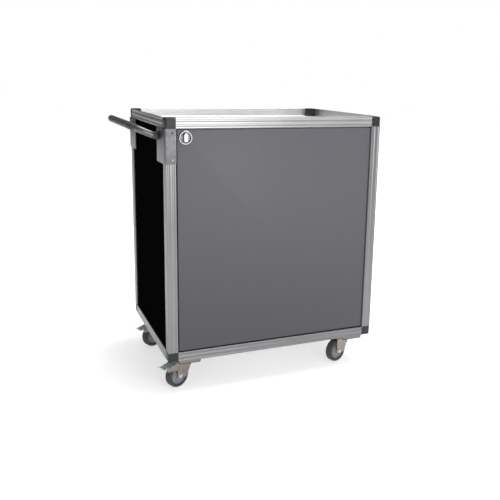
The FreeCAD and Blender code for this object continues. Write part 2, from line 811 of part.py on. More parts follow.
def bracket_screw(number, height):
    """A pan-head screw through the flange of the bracket."""
    x = "left + bracket_screw_in"
    face = "front - bracket_thick"
    head = rod("screw_head_%d" % number, (x, face + " - screw_head_height", height), "screw_head_radius",
               "screw_head_height", TO_Y)
    shank = rod("screw_shank_%d" % number, (x, face, height), "screw_radius", "bracket_thick", TO_Y)
    return joined("screw_%d" % number, [head, shank])


def pivot_bolt():
    """A hexagon bolt through the arm of the handle into the ear of the bracket."""
    cheek = "front + arm_in - tube_radius - cheek_gap"
    head = hexagon("pivot_head", ("pivot_x", cheek + " - bolt_head_height", "pivot_z"), "bolt_head_radius",
                   "bolt_head_height", TO_Y)
    shank = rod("pivot_shank", ("pivot_x", cheek, "pivot_z"), "pivot_bolt_radius",
                "2 * (tube_radius + cheek_gap) + bracket_thick", TO_Y)
    return joined("pivot_bolt", [head, shank])


screw_heights = ["rail_high - bracket_screw_edge", "bracket_low + bracket_screw_edge"]
screws = [bracket_screw(number, height) for number, height in enumerate(screw_heights)]
bolt = pivot_bolt()
bracket = node(handle_bracket(), "handle_bracket_front")
node(mirrored("bracket_back", bracket, "y", "middle_y"), "handle_bracket_back")
node(group("screws", screws + [mirrored(item.Name + "_back", item, "y", "middle_y") for item in screws]),
     "bracket_screws")
node(group("pivots", [bolt, mirrored("pivot_bolt_back", bolt, "y", "middle_y")]), "handle_pivot_bolts")


# ---- Castors: each is drawn with the swivel axis on Z, the floor at 0 and the wheel trailing to -X ----

AXLE = ("-trail", "wheel_radius")
CASTORS = {
    "front_left": ("left + castor_in_x", "front + castor_in_y", "yaw_front_left"),
    "front_right": ("right - castor_in_x", "front + castor_in_y", "yaw_front_right"),
    "back_left": ("left + castor_in_x", "back - castor_in_y", "yaw_back_left"),
    "back_right": ("right - castor_in_x", "back - castor_in_y", "yaw_back_right"),
}
BRAKED = ("front_left", "back_left")
PEDAL_RIBS = 4
bolt_corners = [(x, y) for x in ("-bolt_in_x", "bolt_in_x") for y in ("-bolt_in_y", "bolt_in_y")]


def side_sketch(body, name):
    """A sketch on the plane of the wheel, its axes along X and Z."""
    return new_sketch(body, "XZ_Plane", name)


def castor_fork(name, braked):
    """A folded fork: crown sheet, two legs down to the axle and the lower ball race on top."""
    body = new_body(name)
    side = side_sketch(body, name + "_side")
    leg_back = "-(trail + fork_leg)"
    if braked:
        wing_end = "-(trail + wing_reach)"
        shape = [("-(trail + fork_leg + fork_sheet)", "crown_top"), (wing_end, "crown_top - wing_drop"),
                 (wing_end, "crown_top - wing_drop - wing_depth"), (leg_back, "crown_top - wing_root")]
    else:
        shape = [(leg_back, "crown_top")]
    toe = ("fork_toe - trail", "wheel_radius")
    shape += [(leg_back, "wheel_radius"), ("-trail", "wheel_radius - fork_leg"),
              (toe[0], "wheel_radius - fork_leg"), (toe[0] + " + fork_leg", "wheel_radius"),
              ("crown_front", "crown_low - crown_lip"), ("crown_front", "crown_top")]
    outline(side, shape)
    pad(body, side, "2 * fork_half", both_ways=True)
    for end, centre in (("heel", AXLE), ("toe", toe)):
        foot = side_sketch(body, "%s_%s" % (name, end))
        circle(foot, "fork_leg", centre)
        pad(body, foot, "2 * fork_half", both_ways=True)
    race = new_sketch(body, "XY_Plane", name + "_race", "crown_low + overlap")
    circle(race, "lower_race_radius")
    pad(body, race, "fork_sheet - overlap + lower_race")
    doc.recompute()
    inside = side_sketch(body, name + "_inside")
    reach = "-(trail + wing_reach + overcut)"
    rectangle(inside, (reach, "crown_front + overcut"), ("wheel_radius - fork_leg - overcut", "crown_low"))
    pocket(body, inside, both_ways=True, length="fork_inner")
    if braked:
        lid = side_sketch(body, name + "_lid")
        rectangle(lid, (reach, "-(lower_race_radius + fork_sheet)"),
                  ("crown_low - overcut", "crown_top + overcut"))
        pocket(body, lid, both_ways=True, length="fork_inner")
    cross = side_sketch(body, name + "_cross_holes")
    circle(cross, "axle_radius", AXLE)
    if braked:
        circle(cross, "pedal_pin_radius + axle_play", ("pedal_x", "pedal_z"))
    pocket(body, cross, both_ways=True, length="2 * (fork_half + overcut)")
    bore = new_sketch(body, "XY_Plane", name + "_bore")
    circle(bore, "king_pin_radius + king_play")
    pocket(body, bore)
    return body


def castor_tyre():
    """A solid rubber tyre with rounded shoulders."""
    body = new_body("tyre")
    disc = side_sketch(body, "tyre_disc")
    circle(disc, "wheel_radius", AXLE)
    round_edges(body, pad(body, disc, "wheel_width", both_ways=True), "tyre_round",
                lambda edge: edge.BoundBox.YLength < 0.01)
    hole = side_sketch(body, "tyre_hole")
    circle(hole, "hub_radius", AXLE)
    doc.recompute()
    pocket(body, hole, both_ways=True, length="wheel_width + 2 * overcut")
    return body


def castor_hub():
    """A wheel disc with a longer boss, bored for the axle."""
    body = new_body("hub")
    for part, radius, width in (("disc", "hub_radius", "hub_width"),
                                ("boss", "hub_boss_radius", "fork_inner - 2 * axle_play")):
        sketch = side_sketch(body, "hub_" + part)
        circle(sketch, radius, AXLE)
        pad(body, sketch, width, both_ways=True)
    bore = side_sketch(body, "hub_bore")
    circle(bore, "axle_radius + axle_play", AXLE)
    doc.recompute()
    pocket(body, bore, both_ways=True, length="fork_inner + 2 * overcut")
    return body


def castor_axle():
    """The axle bolt with its head and nut outside the fork."""
    end = "fork_half + axle_end"
    start = ("-trail", "-(%s)" % end, "wheel_radius")
    shank = rod("axle_shank", start, "axle_radius", "2 * (%s)" % end, TO_Y)
    head = hexagon("axle_head", start, "axle_nut_radius", "axle_end", TO_Y)
    nut = hexagon("axle_nut", ("-trail", "fork_half", "wheel_radius"), "axle_nut_radius", "axle_end", TO_Y)
    return joined("axle", [shank, head, nut])


def pedal_top(back):
    """Height of the pedal's upper face at a distance behind the axle."""
    return "crown_top - overlap - (%s - fork_leg) / pedal_fall" % back


def brake_lever():
    """A ribbed pedal between the wings of the fork, with a brake shoe over the tyre and two side pins."""
    body = new_body("pedal")
    side = side_sketch(body, "pedal_side")
    nose = "pedal_x + pedal_nose"
    corners = [(nose, "pedal_z + pedal_pin_radius"), ("-(trail + fork_leg)", "crown_top - overlap")]
    ridge = [("0", "0"), ("rib_slope", "rib_height"), ("rib_width - rib_slope", "rib_height"),
             ("rib_width", "0")]
    for rib in range(PEDAL_RIBS):
        for step, rise in ridge:
            back = "rib_start + %d * rib_pitch + %s" % (rib, step)
            corners.append(("-(trail + %s)" % back, "%s + %s" % (pedal_top(back), rise)))
    lip_start = "pedal_reach - lip_run"
    lip_end = "pedal_reach - lip_run + lip_edge"
    corners += [
        ("-(trail + %s)" % lip_start, pedal_top(lip_start)),
        ("-(trail + pedal_reach)", pedal_top("pedal_reach") + " + lip_rise"),
        ("-(trail + pedal_reach + lip_edge)", pedal_top("pedal_reach") + " + lip_rise - lip_edge"),
        ("-(trail + %s)" % lip_end, pedal_top(lip_end) + " - pedal_thick"),
        ("-(trail + shoe_back)", pedal_top("shoe_back") + " - pedal_thick"),
    ]
    for back in ("shoe_far", "shoe_near"):
        above_axle = "sqrt(wheel_radius ^ 2 - %s ^ 2) + %s_gap" % (back, back)
        corners.append(("-(trail + %s)" % back, "wheel_radius + " + above_axle))
    corners += [("-(trail + rib_start)", pedal_top("rib_start") + " - pedal_thick"),
                (nose, "pedal_z - pedal_thick")]
    outline(side, corners)
    pad(body, side, "fork_inner - 2 * pedal_side_gap", both_ways=True)
    pins = side_sketch(body, "pedal_pins")
    circle(pins, "pedal_pin_radius", ("pedal_x", "pedal_z"))
    pad(body, pins, "2 * fork_half", both_ways=True)
    return body


def castor_plate():
    """The top plate with the upper ball race and the king pin riveted into it."""
    body = new_body("plate")
    sheet_sketch = new_sketch(body, "XY_Plane", "plate_sheet", "plate_low")
    rectangle(sheet_sketch, ("-plate_width / 2", "plate_width / 2"),
              ("-plate_length / 2", "plate_length / 2"))
    round_edges(body, pad(body, sheet_sketch, "plate_thick"), "plate_round", is_upright)
    holes = new_sketch(body, "XY_Plane", "plate_holes")
    for corner in bolt_corners:
        circle(holes, "mount_bolt_radius + bolt_play", corner)
    doc.recompute()
    pocket(body, holes)
    race = rod("upper_race_part", ("0", "0", "plate_low - upper_race"), "upper_race_radius", "upper_race")
    pin_low = "crown_low - king_play - king_pin_head_height"
    pin = rod("king_pin_part", ("0", "0", pin_low), "king_pin_radius", "plate_low - (%s)" % pin_low)
    head = rod("king_head_part", ("0", "0", pin_low), "king_pin_head", "king_pin_head_height")
    return joined("plate_whole", [body, race, pin, head])


def mount_bolt(number, corner):
    """A hexagon bolt from below, through the castor plate into the beam."""
    head = hexagon("mount_head_%d" % number, corner + ("plate_low - mount_bolt_height",), "mount_bolt_head",
                   "mount_bolt_height")
    shank = rod("mount_shank_%d" % number, corner + ("plate_low",), "mount_bolt_radius",
                "plate_thick + beam_sheet")
    return joined("mount_bolt_%d" % number, [head, shank])


def castor_beam():
    """An upward channel under the left ends of the rails, tapped for the bolts of two castors."""
    x = ("left + castor_in_x - beam_width / 2", "left + castor_in_x + beam_width / 2")
    y = ("front + beam_end_gap", "back - beam_end_gap")
    bar = span("beam_bar", x, y, ("plate_top", "foot"))
    channel = span("beam_channel", (x[0] + " + beam_sheet", x[1] + " - beam_sheet"),
                   (y[0] + " - overcut", y[1] + " + overcut"), ("plate_top + beam_sheet", "foot + overcut"))
    holes = []
    for name in BRAKED:
        for number, (dx, dy) in enumerate(bolt_corners):
            king_x, king_y = CASTORS[name][:2]
            at = ("%s + %s" % (king_x, dx), "%s + %s" % (king_y, dy), "plate_top - overcut")
            holes.append(rod("beam_hole_%s_%d" % (name, number), at, "mount_bolt_radius",
                             "beam_sheet + 2 * overcut"))
    return cut("beam", bar, [channel] + holes)


beam = castor_beam()
node(group("beams", [beam, mirrored("beam_right", beam, "x", "middle_x")]), "castor_beams")
plate = castor_plate()
mount_bolts = group("mount_bolts", [mount_bolt(number, at) for number, at in enumerate(bolt_corners)])
flat_places = {name: {"at": (x, y, "0")} for name, (x, y, yaw) in CASTORS.items()}
plates = [placed("plate_" + name, plate, **place) for name, place in flat_places.items()]
node(group("plates", plates), "castor_plates")
bolts = [placed("bolts_" + name, mount_bolts, **place) for name, place in flat_places.items()]
node(group("bolts", bolts), "castor_bolts")

forks = {True: castor_fork("braked_fork", True), False: castor_fork("plain_fork", False)}
tyre = castor_tyre()
hub = castor_hub()
axle = castor_axle()
pedal = brake_lever()
for name, (x, y, yaw) in CASTORS.items():
    place = {"at": (x, y, "0"), "angle": yaw}
    node(placed("fork_" + name, forks[name in BRAKED], **place), "castor_fork_" + name)
    node(placed("axle_" + name, axle, **place), "castor_axle_" + name)
    node(placed("tyre_" + name, tyre, **place), "castor_tyre_" + name)
    node(placed("hub_" + name, hub, **place), "castor_hub_" + name)
for name in BRAKED:
    x, y, yaw = CASTORS[name]
    node(placed("pedal_" + name, pedal, at=(x, y, "0"), angle=yaw), "brake_pedal_" + name)


# ---- Check and write ----

doc.recompute()
for item in doc.Objects:
    assert not {"Invalid", "Error"} & set(item.State), "%s failed: %s" % (item.Name, item.State)
os.makedirs("parts", exist_ok=True)
for item in NODES:
    shape = item.Shape
    assert not shape.isNull() and shape.isValid() and shape.Solids, item.Label + " has no valid solid"
    shape.exportStep("parts/%s.step" % item.Label)
    print("%-28s %2d solids %12.0f mm3" % (item.Label, len(shape.Solids), shape.Volume))
print(len(NODES), "nodes")
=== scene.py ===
import json
import math

import bmesh
import bpy
import numpy as np
from bpy.props import FloatProperty, FloatVectorProperty, IntProperty, PointerProperty
from bpy.types import Operator, Panel, PropertyGroup
from mathutils import Euler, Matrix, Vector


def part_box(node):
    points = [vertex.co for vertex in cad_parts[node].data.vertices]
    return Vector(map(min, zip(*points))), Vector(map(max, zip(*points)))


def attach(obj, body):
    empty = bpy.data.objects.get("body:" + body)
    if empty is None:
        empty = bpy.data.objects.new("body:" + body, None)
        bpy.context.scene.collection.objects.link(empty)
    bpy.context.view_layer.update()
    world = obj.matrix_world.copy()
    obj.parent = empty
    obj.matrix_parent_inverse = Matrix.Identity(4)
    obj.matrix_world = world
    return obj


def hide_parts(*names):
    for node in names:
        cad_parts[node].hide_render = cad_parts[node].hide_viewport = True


bl_info = {
    "name": "Housekeeping cart",
    "version": (1, 0, 0),
    "blender": (4, 5, 0),
    "location": "View3D > Sidebar > Cart",
    "description": "Dresses the frame of a housekeeping cart with castors, handle, lock, door and finishes",
    "category": "Object",
}

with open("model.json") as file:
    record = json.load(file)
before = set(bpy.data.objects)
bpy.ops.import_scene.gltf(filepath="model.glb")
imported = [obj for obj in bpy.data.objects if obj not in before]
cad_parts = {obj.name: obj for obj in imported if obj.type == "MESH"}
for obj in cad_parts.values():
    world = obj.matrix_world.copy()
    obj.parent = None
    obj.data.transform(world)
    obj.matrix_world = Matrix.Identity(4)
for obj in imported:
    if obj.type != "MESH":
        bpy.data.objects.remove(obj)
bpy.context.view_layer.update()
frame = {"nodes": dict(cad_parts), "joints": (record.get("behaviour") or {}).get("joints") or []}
JOINTS = {joint["name"]: joint for joint in frame["joints"]}
MM = 0.001
CASTORS = ("front_left", "front_right", "back_left", "back_right")
BRAKED = ("front_left", "back_left")


# ---- Places taken from the frame, in millimetres ----

def corners(node):
    """Lowest and highest corner of a CAD node, in millimetres."""
    low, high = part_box(node)
    return np.array(low) / MM, np.array(high) / MM


POST_LOW, POST_HIGH = corners("post_front_left")
FAR_LOW, FAR_HIGH = corners("post_back_right")
LEFT, FRONT = POST_LOW[:2]
RIGHT, BACK = FAR_HIGH[:2]
RAIL_LOW, RAIL_HIGH = POST_LOW[2], POST_HIGH[2]
SIDE = POST_HIGH[0] - POST_LOW[0]
MIDDLE_Y = (FRONT + BACK) / 2


class Place:
    """Where a piece stands: an origin in millimetres and its own three axes."""

    def __init__(self, origin, x=(1, 0, 0), y=(0, 1, 0), z=(0, 0, 1)):
        self.origin = np.array(origin, float)
        self.axes = np.array([x, y, z], float)

    def put(self, points):
        """Carry points from the piece's own axes into the frame, in metres."""
        return (np.asarray(points, float) @ self.axes + self.origin) * MM

    def moved(self, x=0, y=0, z=0):
        """The same axes at another point of this place."""
        return Place(np.array([x, y, z], float) @ self.axes + self.origin, *self.axes)

    def facing(self, x, y, z):
        """The same origin with axes given in this place's own axes."""
        return Place(self.origin, *(np.array([x, y, z], float) @ self.axes))

    def sideways(self, way):
        """The same origin and X, with Z along this place's Y (way 1) or against it (way -1)."""
        return self.facing((1, 0, 0), (0, 0, -way), (0, way, 0))

    def downward(self):
        """The same origin and X, with Z pointing down."""
        return self.facing((1, 0, 0), (0, -1, 0), (0, 0, -1))


def castor_place(name):
    """A castor's place: origin on the floor under the king pin, wheel trailing to -X."""
    king = np.array(JOINTS["swivel_turn_" + name]["pos_m"])
    axle = np.array(JOINTS["wheel_spin_" + name]["pos_m"])
    trail = (king - axle) * (1, 1, 0)
    x = trail / np.linalg.norm(trail)
    return Place(king * (1, 1, 0) / MM, x, (-x[1], x[0], 0))


def front_face(x, y, z):
    """A place on an upright face to the front: Z outwards, Y up."""
    return Place((x, y, z)).sideways(-1)


# ---- Shapes: whole arrays of points, in millimetres ----

def circle(radius, steps=48, start=0.0, sweep=2 * math.pi):
    """Points (r cos t, r sin t) with t evenly spaced over the sweep, the end left out on a full turn."""
    turn = start + np.linspace(0, sweep, steps, endpoint=sweep < 2 * math.pi)
    return np.stack([radius * np.cos(turn), radius * np.sin(turn)], axis=1)


def rounded(points, radii, steps=6):
    """A closed outline whose corners become arcs: each corner moves back by r / tan(half angle) on both
    sides and the points between lie on the circle that touches both."""
    points = np.array(points, float)
    radii = np.broadcast_to(np.array(radii, float), len(points))
    pieces = []
    for before, corner, after, radius in zip(np.roll(points, 1, 0), points, np.roll(points, -1, 0), radii):
        back = (before - corner) / np.linalg.norm(before - corner)
        ahead = (after - corner) / np.linalg.norm(after - corner)
        half = math.acos(np.clip(back @ ahead, -1, 1)) / 2
        if radius <= 0 or half > math.pi / 2 - 0.01:
            pieces.append(corner[None])
            continue
        bisector = (back + ahead) / np.linalg.norm(back + ahead)
        centre = corner + bisector * radius / math.sin(half)
        first = corner + back * radius / math.tan(half) - centre
        last = corner + ahead * radius / math.tan(half) - centre
        share = np.linspace(0, 1, steps + 1)[:, None]
        mixed = first * (1 - share) + last * share
        pieces.append(centre + radius * mixed / np.linalg.norm(mixed, axis=1)[:, None])
    return np.concatenate(pieces)


def stadium(width, length, steps=16):
    """Two half circles of the width joined by straight sides, long way up."""
    reach = (length - width) / 2
    top = circle(width / 2, steps, 0, math.pi) + (0, reach)
    low = circle(width / 2, steps, math.pi, math.pi) - (0, reach)
    return np.concatenate([top, low])


def inset(outline, depth):
    """The outline moved inwards by a depth along the mean normal of its two sides, over the cosine of half
    their turn."""
    side = np.roll(outline, -1, 0) - outline
    side /= np.maximum(np.linalg.norm(side, axis=1), 1e-9)[:, None]
    normal = np.stack([-side[:, 1], side[:, 0]], axis=1)
    mean = normal + np.roll(normal, 1, 0)
    mean /= np.maximum(np.linalg.norm(mean, axis=1), 1e-9)[:, None]
    cosine = np.maximum((mean * normal).sum(1), 0.3)
    area = np.sum(outline[:, 0] * np.roll(outline[:, 1], -1) - outline[:, 1] * np.roll(outline[:, 0], -1))
    return outline + mean * (math.copysign(depth, area) / cosine)[:, None]


def rim_layers(low, high, rim, steps=3):
    """Pairs (inset, height) of a plate edge: a quarter round below, the straight edge and one above."""
    turn = np.linspace(0, math.pi / 2, steps + 1)
    quarter = np.stack([rim * (1 - np.sin(turn)), rim * (1 - np.cos(turn))], axis=1)
    upper = np.stack([quarter[::-1, 0], high - quarter[::-1, 1]], axis=1)
    return np.concatenate([quarter + (0, low), upper])


def carried(outline, layers):
    """The outline, inset and raised by each layer's pair."""
    return np.stack([np.column_stack([inset(outline, depth), np.full(len(outline), height)])
                     for depth, height in layers])


def revolved(profile, steps=48, sides=None):
    """A profile of (radius, height) pairs about Z; with sides, the radius follows a regular polygon:
    r cos(pi / n) / cos of the angle from the middle of the nearest side."""
    turn = np.linspace(0, 2 * math.pi, steps, endpoint=False)
    reach = np.ones(steps)
    if sides:
        reach = math.cos(math.pi / sides) / np.cos(np.mod(turn, 2 * math.pi / sides) - math.pi / sides)
    profile = np.array(profile, float)
    radius = profile[:, 0, None]
    return np.stack([radius * reach * np.cos(turn), radius * reach * np.sin(turn),
                     np.broadcast_to(profile[:, 1, None], radius.shape[:1] + turn.shape)], axis=2)


def rod(radius, low, high):
    """The profile of a plain round rod."""
    return [(0, low), (radius, low), (radius, high), (0, high)]


def swept(path, radius, steps=32):
    """A circle carried along a flat path in XY: at each point, r(s) times (normal cos t + Z sin t)."""
    ahead = np.gradient(path, axis=0)
    ahead /= np.linalg.norm(ahead, axis=1)[:, None]
    across = np.stack([-ahead[:, 1], ahead[:, 0], np.zeros(len(path))], axis=1)
    turn = np.linspace(0, 2 * math.pi, steps, endpoint=False)
    radius = np.broadcast_to(radius, len(path))[:, None, None]
    ring = across[:, None] * np.cos(turn)[None, :, None] + np.array([0, 0, 1]) * np.sin(turn)[None, :, None]
    return path[:, None] + radius * ring


class Shell:
    """Grids of points collected into one mesh."""

    def __init__(self, place=None):
        self.place = place or Place((0, 0, 0))
        self.points = []
        self.faces = []
        self.count = 0

    def add(self, grid, wrap_rows=False, wrap_columns=True, caps=True, place=None):
        """Join neighbours of a grid by quads, wrap it where it closes and close the ends of its rows."""
        rows, columns = grid.shape[:2]
        index = np.arange(rows * columns).reshape(rows, columns) + self.count
        if wrap_rows:
            index = np.concatenate([index, index[:1]])
        ends = [index[0][::-1].tolist(), index[-1].tolist()]
        if wrap_columns:
            index = np.concatenate([index, index[:, :1]], axis=1)
        quads = np.stack([index[:-1, :-1], index[:-1, 1:], index[1:, 1:], index[1:, :-1]], axis=-1)
        self.faces += quads.reshape(-1, 4).tolist()
        if caps and not wrap_rows:
            self.faces += ends
        self.points.append((place or self.place).put(grid.reshape(-1, 3)))
        self.count += rows * columns
        return self

    def plate(self, outline, low, high, rim=0.5, place=None):
        """A flat plate with quarter-round rims."""
        return self.add(carried(outline, rim_layers(low, high, rim)), place=place)

    def turned(self, profile, steps=48, sides=None, ring=False, place=None):
        """A turned part; a ring's profile closes on itself."""
        return self.add(revolved(profile, steps, sides), wrap_rows=ring, caps=not ring, place=place)

    def make(self, name, body, finish, slot, smooth=32, replaces=()):
        """Turn the grids into an object that rides on a body."""
        mesh = bpy.data.meshes.new(name)
        mesh.from_pydata(np.concatenate(self.points), [], self.faces)
        work = bmesh.new()
        work.from_mesh(mesh)
        bmesh.ops.remove_doubles(work, verts=work.verts, dist=1e-7)
        bmesh.ops.dissolve_degenerate(work, edges=work.edges, dist=1e-7)
        bmesh.ops.recalc_face_normals(work, faces=work.faces)
        work.to_mesh(mesh)
        work.free()
        mesh.shade_smooth()
        mesh.set_sharp_from_angle(angle=math.radians(smooth))
        mesh.materials.append(finish)
        piece = bpy.data.objects.new(name, mesh)
        bpy.context.scene.collection.objects.link(piece)
        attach(piece, body)
        if replaces:
            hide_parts(*replaces)
        return piece


def hex_head(shell, place, radius, height, washer=0.0):
    """A hexagon head with turned-down corners, standing on a washer."""
    low = 0.0
    if washer:
        shell.turned([(radius * 1.25 - 0.3, 0), (radius * 1.25, 0.3), (radius * 1.25, washer - 0.3),
                      (radius * 1.25 - 0.3, washer)], 40, place=place)
        low = washer
    shell.turned([(radius, low), (radius, height - 0.8), (radius * 0.98, height - 0.5)], 48, 6, place=place)
    shell.turned([(radius * 0.90, height - 0.9), (radius * 0.86, height - 0.25), (radius * 0.78, height)],
                 48, place=place)


# ---- Materials ----

class Link:
    """A shader output that adds a Math node for each operator."""

    def __init__(self, nodes, socket):
        self.nodes = nodes
        self.socket = socket

    def math(self, operation, *values):
        """A Math node on links and numbers."""
        return self.nodes.node("ShaderNodeMath", {"operation": operation}, dict(enumerate(values)))

    def __add__(self, other):
        return self.math("ADD", self, other)

    def __sub__(self, other):
        return self.math("SUBTRACT", self, other)

    def __rsub__(self, other):
        return self.math("SUBTRACT", other, self)

    def __mul__(self, other):
        return self.math("MULTIPLY", self, other)

    __radd__ = __add__
    __rmul__ = __mul__


class Nodes:
    """Adds nodes to a material's or a world's tree."""

    def __init__(self, tree, coordinates):
        self.tree = tree
        self.place = self.node("ShaderNodeTexCoord", output=coordinates)

    def node(self, kind, settings=None, inputs=None, output=0):
        """Add a node: its settings first, then the values or links of its sockets."""
        item = self.tree.nodes.new(kind)
        for name, value in (settings or {}).items():
            if name == "stops":
                while len(item.color_ramp.elements) < len(value):
                    item.color_ramp.elements.new(0.5)
                for element, (position, colour) in zip(item.color_ramp.elements, value):
                    element.position = position
                    element.color = (*colour, 1)
            else:
                setattr(item, name, value)
        for name, value in (inputs or {}).items():
            self.join(item.inputs[name], value)
        return Link(self, item.outputs[output])

    def join(self, socket, value):
        """Link a socket or set its value."""
        if isinstance(value, Link):
            self.tree.links.new(value.socket, socket)
        elif hasattr(value, "__len__") and len(value) == 3 and socket.type == "RGBA":
            socket.default_value = (*value, 1)
        else:
            socket.default_value = value

    def ranged(self, value, low, high, to_low=0.0, to_high=1.0):
        """The value's stretch from low to high carried to another, and held at its ends."""
        return self.node("ShaderNodeMapRange", {"interpolation_type": "SMOOTHSTEP"},
                         {"Value": value, "From Min": low, "From Max": high, "To Min": to_low,
                          "To Max": to_high})


class Finish(Nodes):
    """A material under construction."""

    def __init__(self, name):
        self.material = bpy.data.materials.new(name)
        self.material.use_nodes = True
        super().__init__(self.material.node_tree, "Object")
        self.shader = self.tree.nodes["Principled BSDF"]

    def stretched(self, scale):
        """Object coordinates scaled along each axis."""
        return self.node("ShaderNodeMapping", inputs={"Vector": self.place, "Scale": scale})

    def noise(self, scale, detail=2.0, where=None, roughness=0.5):
        """Smooth noise between 0 and 1."""
        inputs = {"Vector": where or self.place, "Scale": scale, "Detail": detail, "Roughness": roughness}
        return self.node("ShaderNodeTexNoise", inputs=inputs, output="Fac")

    def blend(self, share, first, second):
        """A colour between two."""
        mix = self.tree.nodes.new("ShaderNodeMix")
        mix.data_type = "RGBA"
        for index, value in ((0, share), (6, first), (7, second)):
            self.join(mix.inputs[index], value)
        return Link(self, mix.outputs[2])

    def finish(self, colour, roughness, metallic=0.0, height=None, depth=0.0002, strength=0.3, **fixed):
        """Feed the shader; fixed values go straight to their sockets."""
        self.join(self.shader.inputs["Base Color"], colour)
        self.join(self.shader.inputs["Roughness"], roughness)
        self.shader.inputs["Metallic"].default_value = metallic
        if height is not None:
            bump = self.node("ShaderNodeBump", inputs={"Strength": strength, "Distance": depth,
                                                       "Height": height}, output="Normal")
            self.join(self.shader.inputs["Normal"], bump)
        for name, value in fixed.items():
            self.shader.inputs[name.replace("_", " ")].default_value = value
        return self.material


def tone(colour, factor):
    """A colour made lighter or darker."""
    return tuple(min(1.0, part * factor) for part in colour)


def drawn_aluminium(name, colour, along, metallic=0.92, gloss=0.36):
    """Anodised extrusion: die lines along the bar, soft cloudy sheen and a few handling marks."""
    made = Finish(name)
    lines = made.stretched([3 if axis == along else 700 for axis in "xyz"])
    fine = made.noise(1.0, 3.0, lines)
    broad = made.noise(1.0, 1.0, made.stretched([1 if axis == along else 90 for axis in "xyz"]))
    cloud = made.noise(9.0, 3.0)
    marks = made.ranged(made.noise(60.0, 6.0, roughness=0.7), 0.60, 0.72)
    shade = made.ranged(fine * 0.45 + broad * 0.3 + cloud * 0.25, 0.36, 0.64)
    base = made.blend(shade, tone(colour, 0.88), tone(colour, 1.1))
    base = made.blend(marks * 0.3, base, tone(colour, 0.75))
    rough = made.ranged(fine * 0.5 + cloud * 0.5, 0.3, 0.7, gloss - 0.06, gloss + 0.06) + marks * 0.08
    return made.finish(base, rough, metallic, fine, 0.00010, 0.3)


def moulded_plastic(name, colour, grain=1400.0, gloss=0.5, sheen=0.5):
    """Injection-moulded plastic: fine spark grain, faint flow clouds and dust in the grain."""
    made = Finish(name)
    pits = made.node("ShaderNodeTexVoronoi", inputs={"Vector": made.place, "Scale": grain}, output="Distance")
    cloud = made.noise(14.0, 4.0)
    dust = made.ranged(made.noise(120.0, 6.0, roughness=0.65), 0.55, 0.75)
    base = made.blend(cloud, tone(colour, 0.85), tone(colour, 1.15))
    base = made.blend(dust * 0.18, base, tone(colour, 2.2))
    rough = made.ranged(cloud, 0.3, 0.7, gloss - 0.06, gloss + 0.08)
    return made.finish(base, rough, 0.0, pits, 0.00015, 0.3, Specular_IOR_Level=sheen)


def laminate(name, colour, gloss=0.5, foot=None, sheen=0.4):
    """Matt laminate board: pearl texture, faint vertical wipe marks, scuffs and, given a foot, painted shade
    darkening it towards that foot.
    """
    made = Finish(name)
    pearl = made.noise(900.0, 2.0)
    wipe = made.noise(1.0, 3.0, made.stretched((26, 26, 1.6)))
    scuff = made.ranged(made.noise(34.0, 8.0, roughness=0.75), 0.62, 0.70)
    base = made.blend(made.ranged(wipe, 0.3, 0.7), tone(colour, 0.985), tone(colour, 1.015))
    base = made.blend(made.ranged(pearl, 0.35, 0.65) * 0.2, base, tone(colour, 1.25))
    # painted shade: the board darkens over the 0.75 m above its foot
    if foot is not None:
        height = made.node("ShaderNodeSeparateXYZ", inputs={"Vector": made.place}, output="Z")
        low = made.ranged(height, foot, foot + 0.75, 1.0, 0.0)
        base = made.blend(low * 0.55, base, tone(colour, 0.5))
    base = made.blend(scuff * 0.10, base, tone(colour, 1.5))
    rough = made.ranged(pearl * 0.5 + wipe * 0.5, 0.35, 0.65, gloss - 0.02, gloss + 0.03) + scuff * 0.03
    return made.finish(base, rough, 0.0, pearl, 0.00010, 0.22, Specular_IOR_Level=sheen)


def plated_steel(name, colour, gloss=0.34, stain=0.3, metallic=0.85):
    """Zinc-plated steel: small spangles, soft streaks and dull patches."""
    made = Finish(name)
    spangle = made.node("ShaderNodeTexVoronoi", inputs={"Vector": made.place, "Scale": 420.0}, output="Color")
    patch = made.noise(70.0, 5.0, roughness=0.6)
    grey = made.node("ShaderNodeRGBToBW", inputs={"Color": spangle})
    base = made.blend(grey, tone(colour, 0.84), tone(colour, 1.12))
    base = made.blend(made.ranged(patch, 0.52, 0.68) * stain, base, tone(colour, 0.5))
    rough = made.ranged(patch * 0.6 + grey * 0.4, 0.3, 0.7, gloss - 0.07, gloss + 0.14)
    return made.finish(base, rough, metallic, patch, 0.00010, 0.25)


def polished_chrome(name, colour, gloss=0.15):
    """Polished plating with finger smudges and hair scratches."""
    made = Finish(name)
    smudge = made.noise(55.0, 4.0)
    hair = made.ranged(made.noise(1.0, 4.0, made.stretched((1600, 220, 60))), 0.60, 0.66)
    base = made.blend(smudge, tone(colour, 0.92), tone(colour, 1.04))
    rough = made.ranged(smudge, 0.4, 0.7, gloss - 0.06, gloss + 0.07) + hair * 0.08
    return made.finish(base, rough, 1.0, hair, 0.00004, 0.15)


def rubber(name, colour, gloss=0.7):
    """Rubber: fine tooth, worn lighter patches and dust."""
    made = Finish(name)
    tooth = made.noise(1100.0, 3.0)
    worn = made.noise(45.0, 5.0, roughness=0.6)
    base = made.blend(made.ranged(worn, 0.4, 0.68), tone(colour, 0.82), tone(colour, 1.3))
    dust = made.ranged(made.noise(260.0, 4.0), 0.6, 0.75)
    base = made.blend(dust * 0.25, base, (0.34, 0.33, 0.31))
    return made.finish(base, made.ranged(worn, 0.3, 0.7, gloss - 0.1, gloss + 0.12), 0.0, tooth, 0.0002, 0.35)


